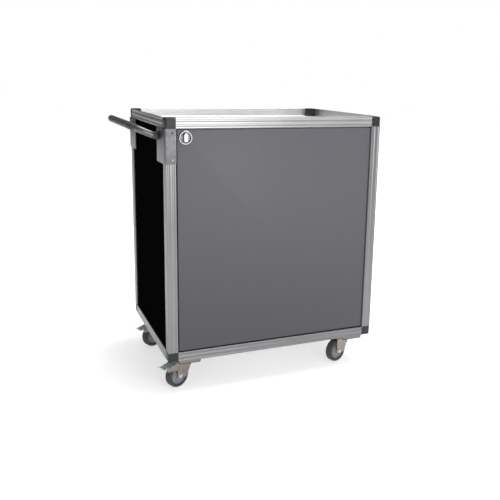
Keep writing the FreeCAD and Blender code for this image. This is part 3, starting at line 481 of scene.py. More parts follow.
def powder_coat(name, colour, gloss=0.45):
    """Powder coat: orange peel, small chips of shade and dust."""
    made = Finish(name)
    peel = made.noise(520.0, 2.0)
    cloud = made.noise(30.0, 4.0)
    base = made.blend(cloud, tone(colour, 0.85), tone(colour, 1.15))
    speck = made.ranged(made.noise(420.0, 3.0), 0.68, 0.74)
    base = made.blend(speck * 0.4, base, tone(colour, 1.9))
    rough = made.ranged(cloud, 0.3, 0.7, gloss - 0.06, gloss + 0.1)
    return made.finish(base, rough, 0.0, peel, 0.0002, 0.3)


MATERIALS = {}


def finishes(looks):
    """All the materials, made once."""
    if MATERIALS:
        return MATERIALS
    metal = looks.aluminium
    MATERIALS.update({
        # painted light: the rails round the tray take lighter copies of the post aluminium, the back and
        # right ones much lighter; the left rail is a darker copy of the front one, painted shade
        "rim_front_painted_light": drawn_aluminium("rim_profile_front_painted_light", looks.rim, "x"),
        "rim_left_painted_shade": drawn_aluminium("rim_profile_left_painted_shade", tone(looks.rim, 0.8), "y", 0.6, 0.5),
        "rim_back": drawn_aluminium("rim_profile_back_painted_light", looks.painted_lit_rim, "x"),
        "rim_right": drawn_aluminium("rim_profile_right_painted_light", looks.painted_lit_rim, "y"),
        "profile_x": drawn_aluminium("anodised_profile_along_x", metal, "x"),
        "profile_y": drawn_aluminium("anodised_profile_along_y", metal, "y"),
        "profile_z": drawn_aluminium("anodised_profile_upright", metal, "z"),
        "connector": moulded_plastic("connector_plastic", looks.connector, 1200.0, 0.42, 0.3),
        "black_panel": laminate("black_panel_laminate", looks.black_panel, 0.6, sheen=0.0),
        "side_panel": laminate("side_panel_laminate", looks.side_panel, 0.5),
        # painted shade: the door darkens towards its foot at the bottom rail
        "door": laminate("door_laminate", looks.door, 0.45, RAIL_LOW * MM, 0.25),
        "tray": laminate("tray_laminate", looks.tray, 0.5),
        "board": laminate("board_laminate", looks.board, 0.5),
        "angle": plated_steel("shelf_angle_steel", tone(looks.zinc, 0.9), 0.4),
        "hinge": powder_coat("hinge_black", (0.025, 0.025, 0.027), 0.4),
        "bracket": plated_steel("bracket_steel", looks.bracket, 0.42, 0.2),
        "zinc": plated_steel("bright_zinc", looks.zinc),
        "screw": plated_steel("screw_zinc", tone(looks.zinc, 0.42)),
        # dark steel; on the upper bracket screws it is painted shade
        "dark_screw": plated_steel("dark_screw_steel", (0.06, 0.06, 0.065), 0.4, 0.5),
        "chrome": polished_chrome("lock_chrome", looks.chrome, 0.24),
        # painted shade: the lock's dish is a darkened copy of the bezel chrome
        "dish": plated_steel("lock_dish_painted_shade_steel", tone(looks.chrome, 0.3), 0.3, 0.2),
        "knob": plated_steel("satin_knob", tone(looks.chrome, 1.7), 0.34, 0.1),
        "tube": drawn_aluminium("handle_tube_aluminium", looks.tube, "x"),
        "grip": rubber("grip_rubber", looks.grip, 0.62),
        "fork": plated_steel("fork_zinc", looks.fork, 0.32, 0.45),
        "tyre": rubber("tyre_rubber", looks.tyre, 0.72),
        "hub": moulded_plastic("hub_plastic", looks.hub, 1500.0, 0.45),
        "pedal": plated_steel("pedal_zinc", looks.pedal, 0.36, 0.6, 0.6),
        "beam": plated_steel("beam_zinc", looks.beam, 0.5, metallic=0.2),
    })
    return MATERIALS


def dress(node, finish):
    """Give a CAD node a material."""
    slots = frame["nodes"][node].data.materials
    slots.clear()
    slots.append(finish)


# ---- Settings ----

def colour_setting(name, description, default):
    return FloatVectorProperty(name=name, description=description, default=default, min=0, max=1, size=3,
                               subtype="COLOR")


def length_setting(name, description, default):
    return FloatProperty(name=name, description=description, default=default, min=0, unit="LENGTH")


class CartLooks(PropertyGroup):
    """Colours of the finishes, in linear light."""
    aluminium: colour_setting("Aluminium", "Posts and bottom rails", (0.188, 0.187, 0.192))
    # painted light: the rails round the tray are lighter than the posts' aluminium, the back and right ones
    # lighter still
    rim: colour_setting("Rim", "Front and left rails round the tray", (0.33, 0.325, 0.33))
    painted_lit_rim: colour_setting("Bright rim", "Back and right rails round the tray", (0.64, 0.63, 0.63))
    connector: colour_setting("Connectors", "Moulded corner connectors", (0.014, 0.017, 0.019))
    black_panel: colour_setting("Left panel", "Panel under the push handle", (0.002, 0.002, 0.002))
    side_panel: colour_setting("Other panels", "Right and back panels", (0.06, 0.06, 0.065))
    door: colour_setting("Door", "Door laminate", (0.086, 0.086, 0.097))
    tray: colour_setting("Tray", "Board of the tray", (0.50, 0.50, 0.51))
    board: colour_setting("Boards", "Floor and shelves", (0.42, 0.42, 0.43))
    zinc: colour_setting("Zinc", "Bolts, screws and castor plates", (0.62, 0.61, 0.59))
    bracket: colour_setting("Brackets", "Handle brackets", (0.135, 0.137, 0.143))
    chrome: colour_setting("Chrome", "Lock bezel", (0.30, 0.30, 0.31))
    tube: colour_setting("Handle tube", "Bare arms of the handle", (0.11, 0.115, 0.12))
    grip: colour_setting("Grip", "Rubber sleeve of the handle", (0.030, 0.034, 0.040))
    fork: colour_setting("Forks", "Castor forks", (0.255, 0.222, 0.20))
    tyre: colour_setting("Tyres", "Castor tyres", (0.040, 0.043, 0.048))
    hub: colour_setting("Hubs", "Wheel discs", (0.19, 0.21, 0.24))
    pedal: colour_setting("Pedals", "Brake pedals", (0.52, 0.63, 0.59))
    beam: colour_setting("Castor beams", "Channels over the castors", (0.20, 0.175, 0.155))
    floor: colour_setting("Floor", "Studio floor", (0.72, 0.72, 0.72))


class CartSizes(PropertyGroup):
    """Sizes of the details that the frame leaves open."""
    connector_round: length_setting("Connector edge", "Radius of a connector's outer edges", 0.007)
    door_edge: length_setting("Door edge", "Radius of the door's edges", 0.0012)
    bezel_tube: length_setting("Bezel", "Half the width of the lock bezel's ring", 0.00375)
    handle_bend: length_setting("Handle bend", "Radius of the handle's bends", 0.050)
    grip_bend: FloatProperty(name="Grip on bend", description="How far the grip reaches round each bend",
                             default=math.radians(45), subtype="ANGLE")
    sheet: length_setting("Castor sheet", "Thickness of the folded castor forks", 0.003)
    fold: length_setting("Fold", "Outer radius of a folded sheet", 0.005)
    tyre_round: length_setting("Tyre shoulder", "Radius of the tyre's shoulders", 0.007)
    hub_spokes: IntProperty(name="Hub pockets", description="Round pockets in each wheel disc", default=6,
                            min=3, max=12)


class CartStage(PropertyGroup):
    """Camera and light."""
    eye: FloatVectorProperty(name="Camera", description="Where the camera stands",
                             default=(-0.9679, -2.7227, 1.2487), size=3, subtype="TRANSLATION")
    turn: FloatVectorProperty(name="Camera turn", description="Tilt, roll and heading of the camera",
                              default=[math.radians(angle) for angle in (77.588, -1.211, -22.969)], size=3,
                              subtype="EULER")
    lens: FloatProperty(name="Lens", description="Focal length in millimetres", default=48.33, min=1)
    shift: FloatVectorProperty(name="Shift", description="Sideways and upward shift of the picture",
                               default=(-0.0578, -0.0549), size=2)
    key: FloatProperty(name="Key light", description="Power of the large light overhead",
                       default=90, min=0, unit="POWER")
    fill: FloatProperty(name="Fill light", description="Power of the light in front", default=14, min=0,
                        unit="POWER")
    sky_front: FloatProperty(name="Surroundings in front", description="Light from the front right",
                             default=0.8, min=0)
    sky_back: FloatProperty(name="Surroundings behind", description="Light from the back left", default=0.04,
                            min=0)
    floor_glow: FloatProperty(name="Floor glow", description="Light given off by the white floor",
                              default=0.5, min=0)


def settings():
    """Looks, sizes and stage of the scene."""
    scene = bpy.context.scene
    return scene.cart_looks, scene.cart_sizes, scene.cart_stage


# ---- Sizes of the details that have no setting, in millimetres ----

SHANK_RADIUS = 3.9
LOCK_FLOOR = 2.0
LOCK_BARREL_RADIUS = 11.0
HANDLE_TUBE_RADIUS = 12.5
HANDLE_GRIP_RADIUS = 14.0
HANDLE_COLLAR = 10.0
GRIP_END = 24.0
BRACKET_THICK = 4.0
BRACKET_SCREW_IN = 26.0
BRACKET_SCREW_UP = 16.0
BEAM_HALF = 45.0
PLATE_THICK = 3.5
PLATE_BOLTS = [(x, y) for x in (-30, 30) for y in (-40, 40)]
KING_PIN_LOW = 106.0
FORK_TOP = 109.0
FORK_HALF = 21.5
FORK_FRONT = 30.0
AXLE_BACK = 35.0
WHEEL_RADIUS = 50.0
WHEEL_HALF = 16.0
HUB_RADIUS = 36.0
POCKET_RADIUS = 23.0
POCKET_FLOOR = 9.0
PEDAL_HALF = 18.1
PEDAL_THICK = 3.0
RIB_START = 24.0
RIB_PITCH = 11.0
RIB_WIDTH = 5.0


# ---- Operators: one for each piece or group of like pieces ----

class CART_OT_frame(Operator):
    """Finish the profile bars, panels, boards and the other plain parts of the frame"""
    bl_idname = "cart.frame"
    bl_label = "Frame and panels"

    def execute(self, context):
        made = finishes(settings()[0])
        kinds = {"top_rail_front": "rim_front_painted_light", "top_rail_back": "rim_back", "top_rail_left": "rim_left_painted_shade",
                 "top_rail_right": "rim_right", "post": "profile_z", "rail_front": "profile_x",
                 "rail_back": "profile_x", "rail_left": "profile_y", "rail_right": "profile_y",
                 "end_panel_left": "black_panel", "end_panel_right": "side_panel",
                 "back_panel": "side_panel", "floor_board": "board",
                 "tray_board": "tray", "shelf_lower": "board", "shelf_upper": "board",
                 "shelf_supports": "angle", "door_stop": "angle", "hinge": "hinge", "lock_nut": "zinc",
                 "lock_cam": "zinc", "castor": "zinc", "handle": "tube", "bracket": "zinc", "door": "door",
                 "lock": "chrome", "corner": "connector", "pedal": "pedal"}
        for node in frame["nodes"]:
            closest = max((word for word in kinds if word in node), key=len)
            dress(node, made[kinds[closest]])
        return {"FINISHED"}


def connector_cube(shell, origin, outward, size, radius):
    """A cube whose outer edges are rounded: each surface point p is clamped to the inner box as q, and lies
    at q + r (p - q) / |p - q|."""
    steps = np.concatenate([np.linspace(0, radius, 7), np.linspace(radius, size, 4)[1:]])
    a, b = [part.ravel() for part in np.meshgrid(steps, steps, indexing="ij")]
    for axis in range(3):
        for level in (0.0, size):
            points = np.zeros((len(a), 3))
            points[:, axis] = level
            points[:, (axis + 1) % 3] = a
            points[:, (axis + 2) % 3] = b
            core = np.maximum(points, radius)
            away = points - core
            length = np.linalg.norm(away, axis=1)[:, None]
            points = core + np.where(length > 0, radius * away / np.maximum(length, 1e-9), 0)
            grid = (points * -np.array(outward)).reshape(len(steps), len(steps), 3)
            shell.add(grid, wrap_columns=False, caps=False, place=Place(origin))


class CART_OT_connectors(Operator):
    """Model the rounded corner connectors"""
    bl_idname = "cart.connectors"
    bl_label = "Corner connectors"

    def execute(self, context):
        looks, sizes = settings()[:2]
        made = finishes(looks)
        for level, z, up in (("top", RAIL_HIGH + SIDE, 1), ("bottom", RAIL_LOW - SIDE, -1)):
            shell = Shell()
            for x, out_x in ((LEFT, -1), (RIGHT, 1)):
                for y, out_y in ((FRONT, -1), (BACK, 1)):
                    connector_cube(shell, (x, y, z), (out_x, out_y, up), SIDE, sizes.connector_round / MM)
            piece = shell.make(level + "_connector_caps", "frame", made["connector"], "connector",
                               replaces=[level + "_corner_connectors"])
            edge = piece.modifiers.new("joint_lines", "BEVEL")
            edge.width = 0.0005
            edge.segments = 2
            edge.limit_method = "ANGLE"
            edge.angle_limit = math.radians(60)
        return {"FINISHED"}


class CART_OT_door(Operator):
    """Model the door board with its eased edges"""
    bl_idname = "cart.door"
    bl_label = "Door"

    def execute(self, context):
        looks, sizes = settings()[:2]
        low, high = corners("door_panel")
        place = front_face(0, high[1], 0)
        outline = rounded([(low[0], low[2]), (high[0], low[2]), (high[0], high[2]), (low[0], high[2])], 1.5)
        shell = Shell(place).plate(outline, 0, high[1] - low[1], sizes.door_edge / MM)
        shell.make("door_board", "door", finishes(looks)["door"], "door_board", replaces=["door_panel"])
        return {"FINISHED"}


class CART_OT_lock(Operator):
    """Model the lock bezel and the oval knob with its key slot"""
    bl_idname = "cart.lock"
    bl_label = "Lock"

    def execute(self, context):
        looks, sizes = settings()[:2]
        made = finishes(looks)
        low, high = corners("lock_rosette")
        knob_low, knob_high = corners("lock_knob")
        centre = np.array(JOINTS["lock_turn"]["pos_m"]) / MM
        place = front_face(centre[0], corners("door_panel")[0][1], centre[2])
        outer = (high[0] - low[0]) / 2
        tube = sizes.bezel_tube / MM
        turn = np.linspace(-0.5 * math.pi, 1.05 * math.pi, 22)
        rim = np.stack([outer - tube + tube * np.cos(turn), tube + tube * np.sin(turn)], axis=1)
        floor = LOCK_FLOOR
        inner = outer - 2 * tube
        profile = np.concatenate([[(0, 0)], rim, [(inner, floor - 0.6), (0, floor - 0.6)]])
        shell = Shell(place).turned(profile, 72)
        shell.turned(rod(LOCK_BARREL_RADIUS, 0, high[1] - low[1] - 2 * tube), 48, place=place.downward())
        shell.make("lock_bezel", "door", made["chrome"], "chrome", replaces=["lock_rosette"])

        # the dish takes the darkened chrome, painted shade in the bezel's hollow
        dish = [(0, floor - 0.8), (inner - 0.1, floor - 0.8), (inner - 0.1, floor + 0.3),
                (inner - 0.5, floor), (inner - 2.2, floor), (inner - 2.5, floor + 0.35),
                (inner - 3.1, floor + 0.35), (inner - 3.4, floor), (7.2, floor), (6.8, floor + 0.4),
                (0, floor + 0.4)]
        Shell(place).turned(dish, 72).make("lock_dish", "door", made["dish"], "chrome")

        out = place.origin[1] - knob_low[1]
        knob = Shell(place)
        outline = stadium(knob_high[0] - knob_low[0], knob_high[2] - knob_low[2], 18)
        turn = np.linspace(0, math.pi / 2, 7)
        crown = [(3 * (1 - math.cos(a)), out - 3 + 3 * math.sin(a)) for a in turn]
        knob.add(carried(outline, [(1.2, floor + 0.2), (0.4, floor + 0.9), (0, floor + 2)] + crown[:-1]
                         + [(3.0, out - 0.02), (3.6, out)]))
        knob.turned(rod(6, -floor - 0.3, 20), 40, place=place.downward())
        knob.make("lock_knob_oval", "lock", made["knob"], "chrome", replaces=["lock_knob"])
        slot = stadium(1.8, 9, 8)
        face = Shell(place)
        ring = circle(5.4, len(slot), 0)
        levels = [(ring * 1.04, out - 0.3), (ring * 1.04, out), (ring, out), (ring * 0.97, out - 0.02),
                  (slot * 1.25, out - 0.02), (slot, out - 0.12), (slot, out - 0.5)]
        face.add(np.stack([np.column_stack([line, np.full(len(line), z)]) for line, z in levels]))
        face.make("lock_key_face", "lock", made["dark_screw"], "chrome")
        return {"FINISHED"}


def handle_place():
    """The handle's own axes: pivot line on Y, arms along -X, tilted as the grip stands."""
    pivot = np.array(JOINTS["handle_fold"]["pos_m"]) / MM
    low, high = corners("handle_grip")
    grip = HANDLE_GRIP_RADIUS
    reach = math.hypot(low[0] + grip - pivot[0], high[2] - grip - pivot[2])
    tilt = math.atan2(high[2] - grip - pivot[2], pivot[0] - low[0] - grip)
    place = Place(pivot, (math.cos(tilt), 0, -math.sin(tilt)), (0, 1, 0), (math.sin(tilt), 0, math.cos(tilt)))
    return place, reach


def handle_path(reach, half, bend, from_x, bend_share=1.0):
    """Centre line of the handle: half the crossbar, a quarter circle (or a share of one) of radius bend, and
    an arm as far as from_x if it is given. Its mirror image comes first."""
    turn = np.linspace(0, math.pi / 2 * bend_share, 20)
    centre = np.array([-(reach - bend), half - bend])
    arc = centre + bend * np.stack([-np.cos(turn), np.sin(turn)], axis=1)
    cross = np.stack([np.full(60, -reach), np.linspace(0, half - bend, 60)], axis=1)[:-1]
    parts = [cross, arc]
    if from_x is not None:
        parts.append(np.stack([np.linspace(-(reach - bend), from_x, 8), np.full(8, half)], axis=1)[1:])
    one = np.concatenate(parts)
    other = one[1:][::-1] * (1, -1)
    return np.column_stack([np.concatenate([other, one]), np.zeros(2 * len(one) - 1)])


def grip_radius(edge):
    """Radius of the grip at a way from its nearer end: R - 1.4 exp(-edge / 0.5), less 0.45 in four grooves
    that are 1 wide and 4 apart."""
    grooves = (np.abs(np.mod(edge - 4, 4) - 2) < 0.5) * (edge > 3) * (edge < 19)
    return HANDLE_GRIP_RADIUS - 1.4 * np.exp(-edge / 0.5) - 0.45 * grooves


class CART_OT_handle(Operator):
    """Model the bent handle tube, its rubber grip and its end plugs"""
    bl_idname = "cart.handle"
    bl_label = "Push handle"

    def execute(self, context):
        looks, sizes = settings()[:2]
        made = finishes(looks)
        place, reach = handle_place()
        low, high = corners("handle_tube")
        half = (high[1] - low[1]) / 2 - HANDLE_TUBE_RADIUS
        bend = sizes.handle_bend / MM
        path = handle_path(reach, half, bend, -HANDLE_COLLAR)
        Shell(place).add(swept(path, HANDLE_TUBE_RADIUS, 40)).make(
            "handle_tube_bent", "handle", made["tube"], "tube", replaces=["handle_tube"])

        share = sizes.grip_bend / (math.pi / 2)
        path = handle_path(reach, half, bend, None, share)
        run = np.concatenate([[0], np.cumsum(np.linalg.norm(np.diff(path, axis=0), axis=1))])
        close = np.linspace(0, GRIP_END, 60)
        stations = np.unique(np.concatenate([np.linspace(0, run[-1], 170), close, run[-1] - close]))
        path = np.stack([np.interp(stations, run, path[:, axis]) for axis in range(3)], axis=1)
        edge = np.minimum(stations, run[-1] - stations)
        Shell(place).add(swept(path, grip_radius(edge), 48)).make(
            "handle_grip_sleeve", "handle", made["grip"], "grip", smooth=50, replaces=["handle_grip"])

        plugs = Shell()
        turn = np.linspace(0, math.pi / 2, 10)
        ball = [(HANDLE_TUBE_RADIUS * math.cos(a), HANDLE_TUBE_RADIUS * math.sin(a)) for a in turn]
        for side in (-1, 1):
            end = place.moved(y=side * half).facing((0, 1, 0), (0, 0, 1), (1, 0, 0))
            collar = [(HANDLE_TUBE_RADIUS - 0.5, -HANDLE_COLLAR), (HANDLE_TUBE_RADIUS, 0.5 - HANDLE_COLLAR)]
            plugs.turned(collar + ball, 48, place=end)
        plugs.make("handle_plugs_round", "handle", made["grip"], "tube", replaces=["handle_end_plugs"])
        return {"FINISHED"}


class CART_OT_brackets(Operator):
    """Model the bent handle brackets with their ears, screws and pivot bolts"""
    bl_idname = "cart.brackets"
    bl_label = "Handle brackets"

    def execute(self, context):
        looks, sizes = settings()[:2]
        made = finishes(looks)
        pivot = np.array(JOINTS["handle_fold"]["pos_m"]) / MM
        thick = BRACKET_THICK
        low, high = corners("handle_bracket_front")
        length = high[1] - low[1]
        width = high[0] - LEFT
        fold = sizes.fold / MM + 1
        radius = HANDLE_TUBE_RADIUS
        cheek = corners("handle_tube")[0][1] - FRONT - 0.4
        ear_low = cheek + 2 * radius + 0.8
        screw = [(0, 0.1 - thick), (2.4, 0.1 - thick), (2.4, 0), (4.5, 0), (4.5, 0.7), (4.2, 1.3), (3.3, 1.8),
                 (2.2, 2.0), (1.9, 1.9), (1.5, 0.9), (0, 0.9)]
        screws = Shell()
        dark = Shell()
        bolts = Shell()
        for name, flip in (("front", 1), ("back", -1)):
            # seen from above, with X to the right and Y away from the flange's face
            place = Place((LEFT, MIDDLE_Y - flip * (MIDDLE_Y - FRONT), 0), (1, 0, 0), (0, flip, 0))
            outline = rounded([(-thick, -thick), (width, -thick), (width, 0), (0, 0), (0, length - thick),
                               (-thick, length - thick)], [fold, 0.4, 0.4, 1.2, 0.4, 0.4], 8)
            shell = Shell(place).plate(outline, low[2], high[2], 0.7)
            nose = circle(radius, 24, math.pi / 2, math.pi) + (pivot[0] - LEFT, pivot[2])
            root_low, root_high = pivot[2] - radius - 5, pivot[2] + radius + 5
            ear = np.concatenate([nose, [(-thick, root_low), (-thick + 1, root_low), (-thick + 1, root_high),
                                         (-thick, root_high)]])
            side = place.facing((1, 0, 0), (0, 0, 1), (0, 1, 0))
            shell.plate(ear, ear_low, ear_low + thick, 0.5, place=side)
            shell.make("handle_bracket_%s_bent" % name, "frame", made["bracket"], "bracket", smooth=40,
                       replaces=["handle_bracket_" + name])
            # painted shade: the upper screws take the dark steel, the lower ones the zinc
            for height, group in ((high[2] - BRACKET_SCREW_UP, dark), (low[2] + BRACKET_SCREW_UP, screws)):
                face = place.moved(BRACKET_SCREW_IN, -thick, height).sideways(-1)
                group.turned(screw, 36, place=face)
            outside = side.moved(pivot[0] - LEFT, pivot[2], cheek).facing((1, 0, 0), (0, 1, 0), (0, 0, -1))
            hex_head(bolts, outside, 7, 4, 1.0)
            bolts.turned(rod(SHANK_RADIUS, cheek - ear_low - thick, 0), 32, place=outside)
        screws.make("bracket_screws_lower", "frame", made["screw"], "zinc", replaces=["bracket_screws"])
        dark.make("bracket_screws_upper", "frame", made["dark_screw"], "zinc")
        bolts.make("handle_pivot_bolts_hex", "frame", made["dark_screw"], "zinc",
                   replaces=["handle_pivot_bolts"])
        return {"FINISHED"}


class CART_OT_castor_tops(Operator):
    """Model the castor beams, plates, upper races, king pins and mounting bolts"""
    bl_idname = "cart.castor_tops"
    bl_label = "Castor tops"

    def execute(self, context):
        looks, sizes = settings()[:2]
        made = finishes(looks)
        low, high = corners("castor_beams")
        sheet = sizes.sheet / MM
        half = BEAM_HALF
        tall = high[2] - low[2]
        channel = rounded([(-half, 0), (half, 0), (half, tall), (half - sheet, tall), (half - sheet, sheet),
                           (sheet - half, sheet), (sheet - half, tall), (-half, tall)],
                          [5, 5, 0.3, 0.3, 2, 2, 0.3, 0.3], 6)
        end = rounded([(-half, 0), (half, 0), (half, tall), (-half, tall)], [5, 5, 0.3, 0.3], 6)
        beams = Shell()
        for x in (low[0] + half, high[0] - half):
            place = front_face(x, 0, low[2])
            beams.plate(channel, -high[1], -low[1], 0.3, place=place)
            for start in (-high[1], -low[1] - sheet):
                beams.plate(end, start, start + sheet, 0.3, place=place)
        beams.make("castor_beam_channels", "frame", made["beam"], "beam", replaces=["castor_beams"])

        under = low[2] - PLATE_THICK
        outline = rounded([(-43, -52), (43, -52), (43, 52), (-43, 52)], 8, 8)
        race = [(0, under), (31, under), (30.8, under - 0.8), (29, under - 1.2), (29, under - 4.2),
                (28.2, under - 5), (26.6, under - 5), (25.8, under - 4.2), (0, under - 4.2)]
        foot = KING_PIN_LOW
        pin = [(0, under - 4), (4.9, under - 4), (4.9, foot), (9, foot - 0.1), (9, foot - 1.6),
               (7.6, foot - 2.7), (4, foot - 3.1), (0, foot - 3.1)]
        plates = Shell()
        bolts = Shell()
        for name in CASTORS:
            centre = Place(castor_place(name).origin)
            plates.plate(outline, under, low[2], 0.6, place=centre)
            plates.turned(race, 64, place=centre)
            plates.turned(pin, 40, place=centre)
            for x, y in PLATE_BOLTS:
                spot = centre.moved(x, y, under).downward()
                hex_head(bolts, spot, 7.2, 5.0, 0.9)
                bolts.turned(rod(SHANK_RADIUS, -6.4, 0), 24, place=spot)
        plates.make("castor_top_plates", "frame", made["zinc"], "zinc", replaces=["castor_plates"])
        bolts.make("castor_mounting_bolts", "frame", made["zinc"], "zinc", replaces=["castor_bolts"])
        return {"FINISHED"}


class CART_OT_forks(Operator):
    """Model the folded castor forks with their ball races and axle bolts"""
    bl_idname = "cart.forks"
    bl_label = "Castor forks"

    def execute(self, context):
        looks, sizes = settings()[:2]
        made = finishes(looks)
        sheet = sizes.sheet / MM
        fold = sizes.fold / MM
        top = FORK_TOP
        shoulder = top - fold
        back = -(AXLE_BACK + 12)
        half = FORK_HALF
        inside = half - sheet
        low = shoulder - 1
        # the folded top, seen along the castor
        bend = rounded([(-half, low), (-half, top), (half, top), (half, low), (inside, low),
                        (inside, top - sheet), (-inside, top - sheet), (-inside, low)],
                       [0, fold, fold, 0, 0, 2, 2, 0], 8)
        race = [(0, top - 1), (26, top - 1), (26, top + 1.2), (25.4, top + 2), (25.4, top + 8.6),
                (26, top + 9.2), (25.2, top + 10), (0, top + 10)]
        rivet = [(0, -0.5), (4.6, -0.5), (4.6, 0.2), (4.0, 0.9), (2.6, 1.5), (0, 1.8)]
        for name in CASTORS:
            place = castor_place(name)
            braked = name in BRAKED
            shell = Shell(place)
            if braked:
                outline = [(-29, shoulder), (-32, top), (-50, top), (-100, 98), (-100, 84), (back, 78)]
                radii = [0, 1.5, 4, 3.5, 3.5, 7]
            else:
                outline = [(-29, shoulder), (back, shoulder)]
                radii = [0, 3]
            outline += [(back, 38), (5, 38), (5, 53), (FORK_FRONT, 100), (FORK_FRONT, shoulder)]
            radii += [11.9, 11.9, 16, 5, 0]
            cheek = rounded(outline, radii, 10)
            for side in (-1, 1):
                inner, outer = sorted((side * inside, side * half))
                shell.plate(cheek, inner, outer, 0.5, place=place.sideways(-1))
                shell.turned(rivet, 32, place=place.moved(-11, side * half, 64).sideways(side))
            along = place.facing((0, 1, 0), (0, 0, 1), (1, 0, 0))
            shell.plate(bend, -29 if braked else back + 2, FORK_FRONT, 0.4, place=along)
            shell.turned(race, 64)
            shell.make("castor_fork_%s_folded" % name, "swivel_" + name, made["fork"], "fork", smooth=40,
                       replaces=["castor_fork_" + name])
            axle = Shell()
            for side in (-1, 1):
                spot = place.moved(-AXLE_BACK, side * half, WHEEL_RADIUS).sideways(side)
                hex_head(axle, spot, 7.4, 6.0 if side < 0 else 5.2, 0.9)
                if side > 0:
                    axle.turned([(0, 4), (3.2, 4), (3.2, 5.5), (2.8, 6), (0, 6)], 24, place=spot)
            middle = place.moved(-AXLE_BACK, 0, WHEEL_RADIUS).sideways(1)
            axle.turned(rod(SHANK_RADIUS, -half, half), 32, place=middle)
            axle.make("castor_axle_%s_bolt" % name, "swivel_" + name, made["zinc"], "zinc",
                      replaces=["castor_axle_" + name])
        return {"FINISHED"}


class CART_OT_wheels(Operator):
    """Model the castor tyres and wheel discs"""
    bl_idname = "cart.wheels"
    bl_label = "Castor wheels"

    def execute(self, context):
        looks, sizes = settings()[:2]
        made = finishes(looks)
        half = WHEEL_HALF
        hub = HUB_RADIUS
        shoulder = sizes.tyre_round / MM
        turn = np.linspace(0, math.pi / 2, 8)
        corner = (WHEEL_RADIUS - shoulder, 0) + shoulder * np.stack([np.sin(turn), np.cos(turn)], axis=1)
        side = np.concatenate([[(hub, half - 1.6), (hub + 0.8, half - 0.4), (hub + 2.2, half - 0.2),
                                (hub + 2.6, half - 0.9), (hub + 3.4, half - 0.9), (hub + 3.8, half)],
                               corner + (0, half - shoulder)])
        tyre_profile = np.concatenate([side, side[::-1] * (1, -1)])
        low = POCKET_FLOOR
        face = np.array([(4.08, 18.3), (11.2, 18.3), (12, 17.6), (12.4, 12.2), (14.5, 9.6), (17, low),
                         (29, low), (31, 9.8), (32.2, 12.0), (33, 12.8), (35.2, 12.8), (hub, 12.0)])
        hub_profile = np.concatenate([face, face[::-1] * (1, -1)])
        pocket = [(0, -1), (4.4, -1), (4.4, 0.9), (4.0, 1.3), (3.2, 1.3), (2.8, 0.9), (2.8, 0.2), (0, 0.2)]
        for name in CASTORS:
            place = castor_place(name).moved(-AXLE_BACK, 0, WHEEL_RADIUS).sideways(1)
            body = "wheel_" + name
            Shell(place).turned(tyre_profile, 96, ring=True).make(
                "castor_tyre_%s_tread" % name, body, made["tyre"], "tyre", replaces=["castor_tyre_" + name])
            disc = Shell(place).turned(hub_profile, 96, ring=True)
            for x, y in circle(POCKET_RADIUS, sizes.hub_spokes):
                for way in (-1, 1):
                    spot = place.moved(x, y, way * low).facing((1, 0, 0), (0, way, 0), (0, 0, way))
                    disc.turned(pocket, 24, place=spot)
            disc.make("castor_hub_%s_disc" % name, body, made["hub"], "hub", replaces=["castor_hub_" + name])
        return {"FINISHED"}


def pedal_faces():
    """Upper and lower face of a pedal, over the way s back from the axle and y across. The plate slopes by
    108 - (s - 12) / 7. On it stand ribs 1.5 high, with dimples 2.2 exp(-(u^4 + v^4)) pressed between them, a
    lip 8 ((s - 76) / 8)^1.5 at the end and softened sides. Below, the brake shoe stays clear of the tyre's
    circle by 5.5 + 0.44 (s - 27)."""
    half = PEDAL_HALF
    across = np.concatenate([np.linspace(-half, half, 61), [-half + 0.3, half - 0.3]])
    s, y = np.meshgrid(np.arange(3, 84.01, 0.5), np.unique(np.round(across, 3)), indexing="ij")
    base = 108 - (s - 12) / 7
    phase = np.mod(s - RIB_START, RIB_PITCH)
    rib = np.clip(np.minimum(phase, RIB_WIDTH - phase), 0, 1) * 1.5 * ((s > RIB_START) & (s < 62.01))
    dimple = 2.2 * np.exp(-(((phase - 8) / 2.3) ** 4 + ((np.mod(y + half, 9.05) - 4.52) / 2.9) ** 4))
    dimple *= (s > RIB_START) & (s < 68)
    lip = 8 * np.clip((s - 76) / 8, 0, 1) ** 1.5
    edge = 0.5 * np.clip((np.abs(y) - half + 0.6) / 0.6, 0, 1) ** 2
    top = base + rib - dimple + lip - edge
    under = base - PEDAL_THICK + lip * 0.8 + edge
    shoe = WHEEL_RADIUS + np.sqrt(np.maximum(WHEEL_RADIUS ** 2 - s ** 2, 0)) + 5.5 + 0.44 * (s - 27)
    pressed = (s > 26) & (s < 40)
    under = np.where(pressed, np.minimum(under, np.maximum(shoe, 88)), under)
    x = -(AXLE_BACK + s)
    return np.stack([x, y, top], axis=2), np.stack([x, y, under], axis=2)


class CART_OT_pedals(Operator):
    """Model the ribbed brake pedals"""
    bl_idname = "cart.pedals"
    bl_label = "Brake pedals"

    def execute(self, context):
        made = finishes(settings()[0])
        upper, lower = pedal_faces()
        sides = [np.stack([upper[line], lower[line]]) for line in (0, -1, np.s_[:, 0], np.s_[:, -1])]
        half = FORK_HALF
        pivot = [(0, -half), (2.2, -half), (2.5, 0.4 - half), (2.5, half - 0.4), (2.2, half), (0, half)]
        for name in BRAKED:
            place = castor_place(name)
            shell = Shell(place)
            for grid in (upper, lower, *sides):
                shell.add(grid, wrap_columns=False, caps=False)
            shell.turned(pivot, 24, place=place.moved(-42, 0, 105).sideways(1))
            shell.make("brake_pedal_%s_ribbed" % name, "pedal_" + name, made["pedal"], "pedal", smooth=28,
                       replaces=["brake_pedal_" + name])
        return {"FINISHED"}


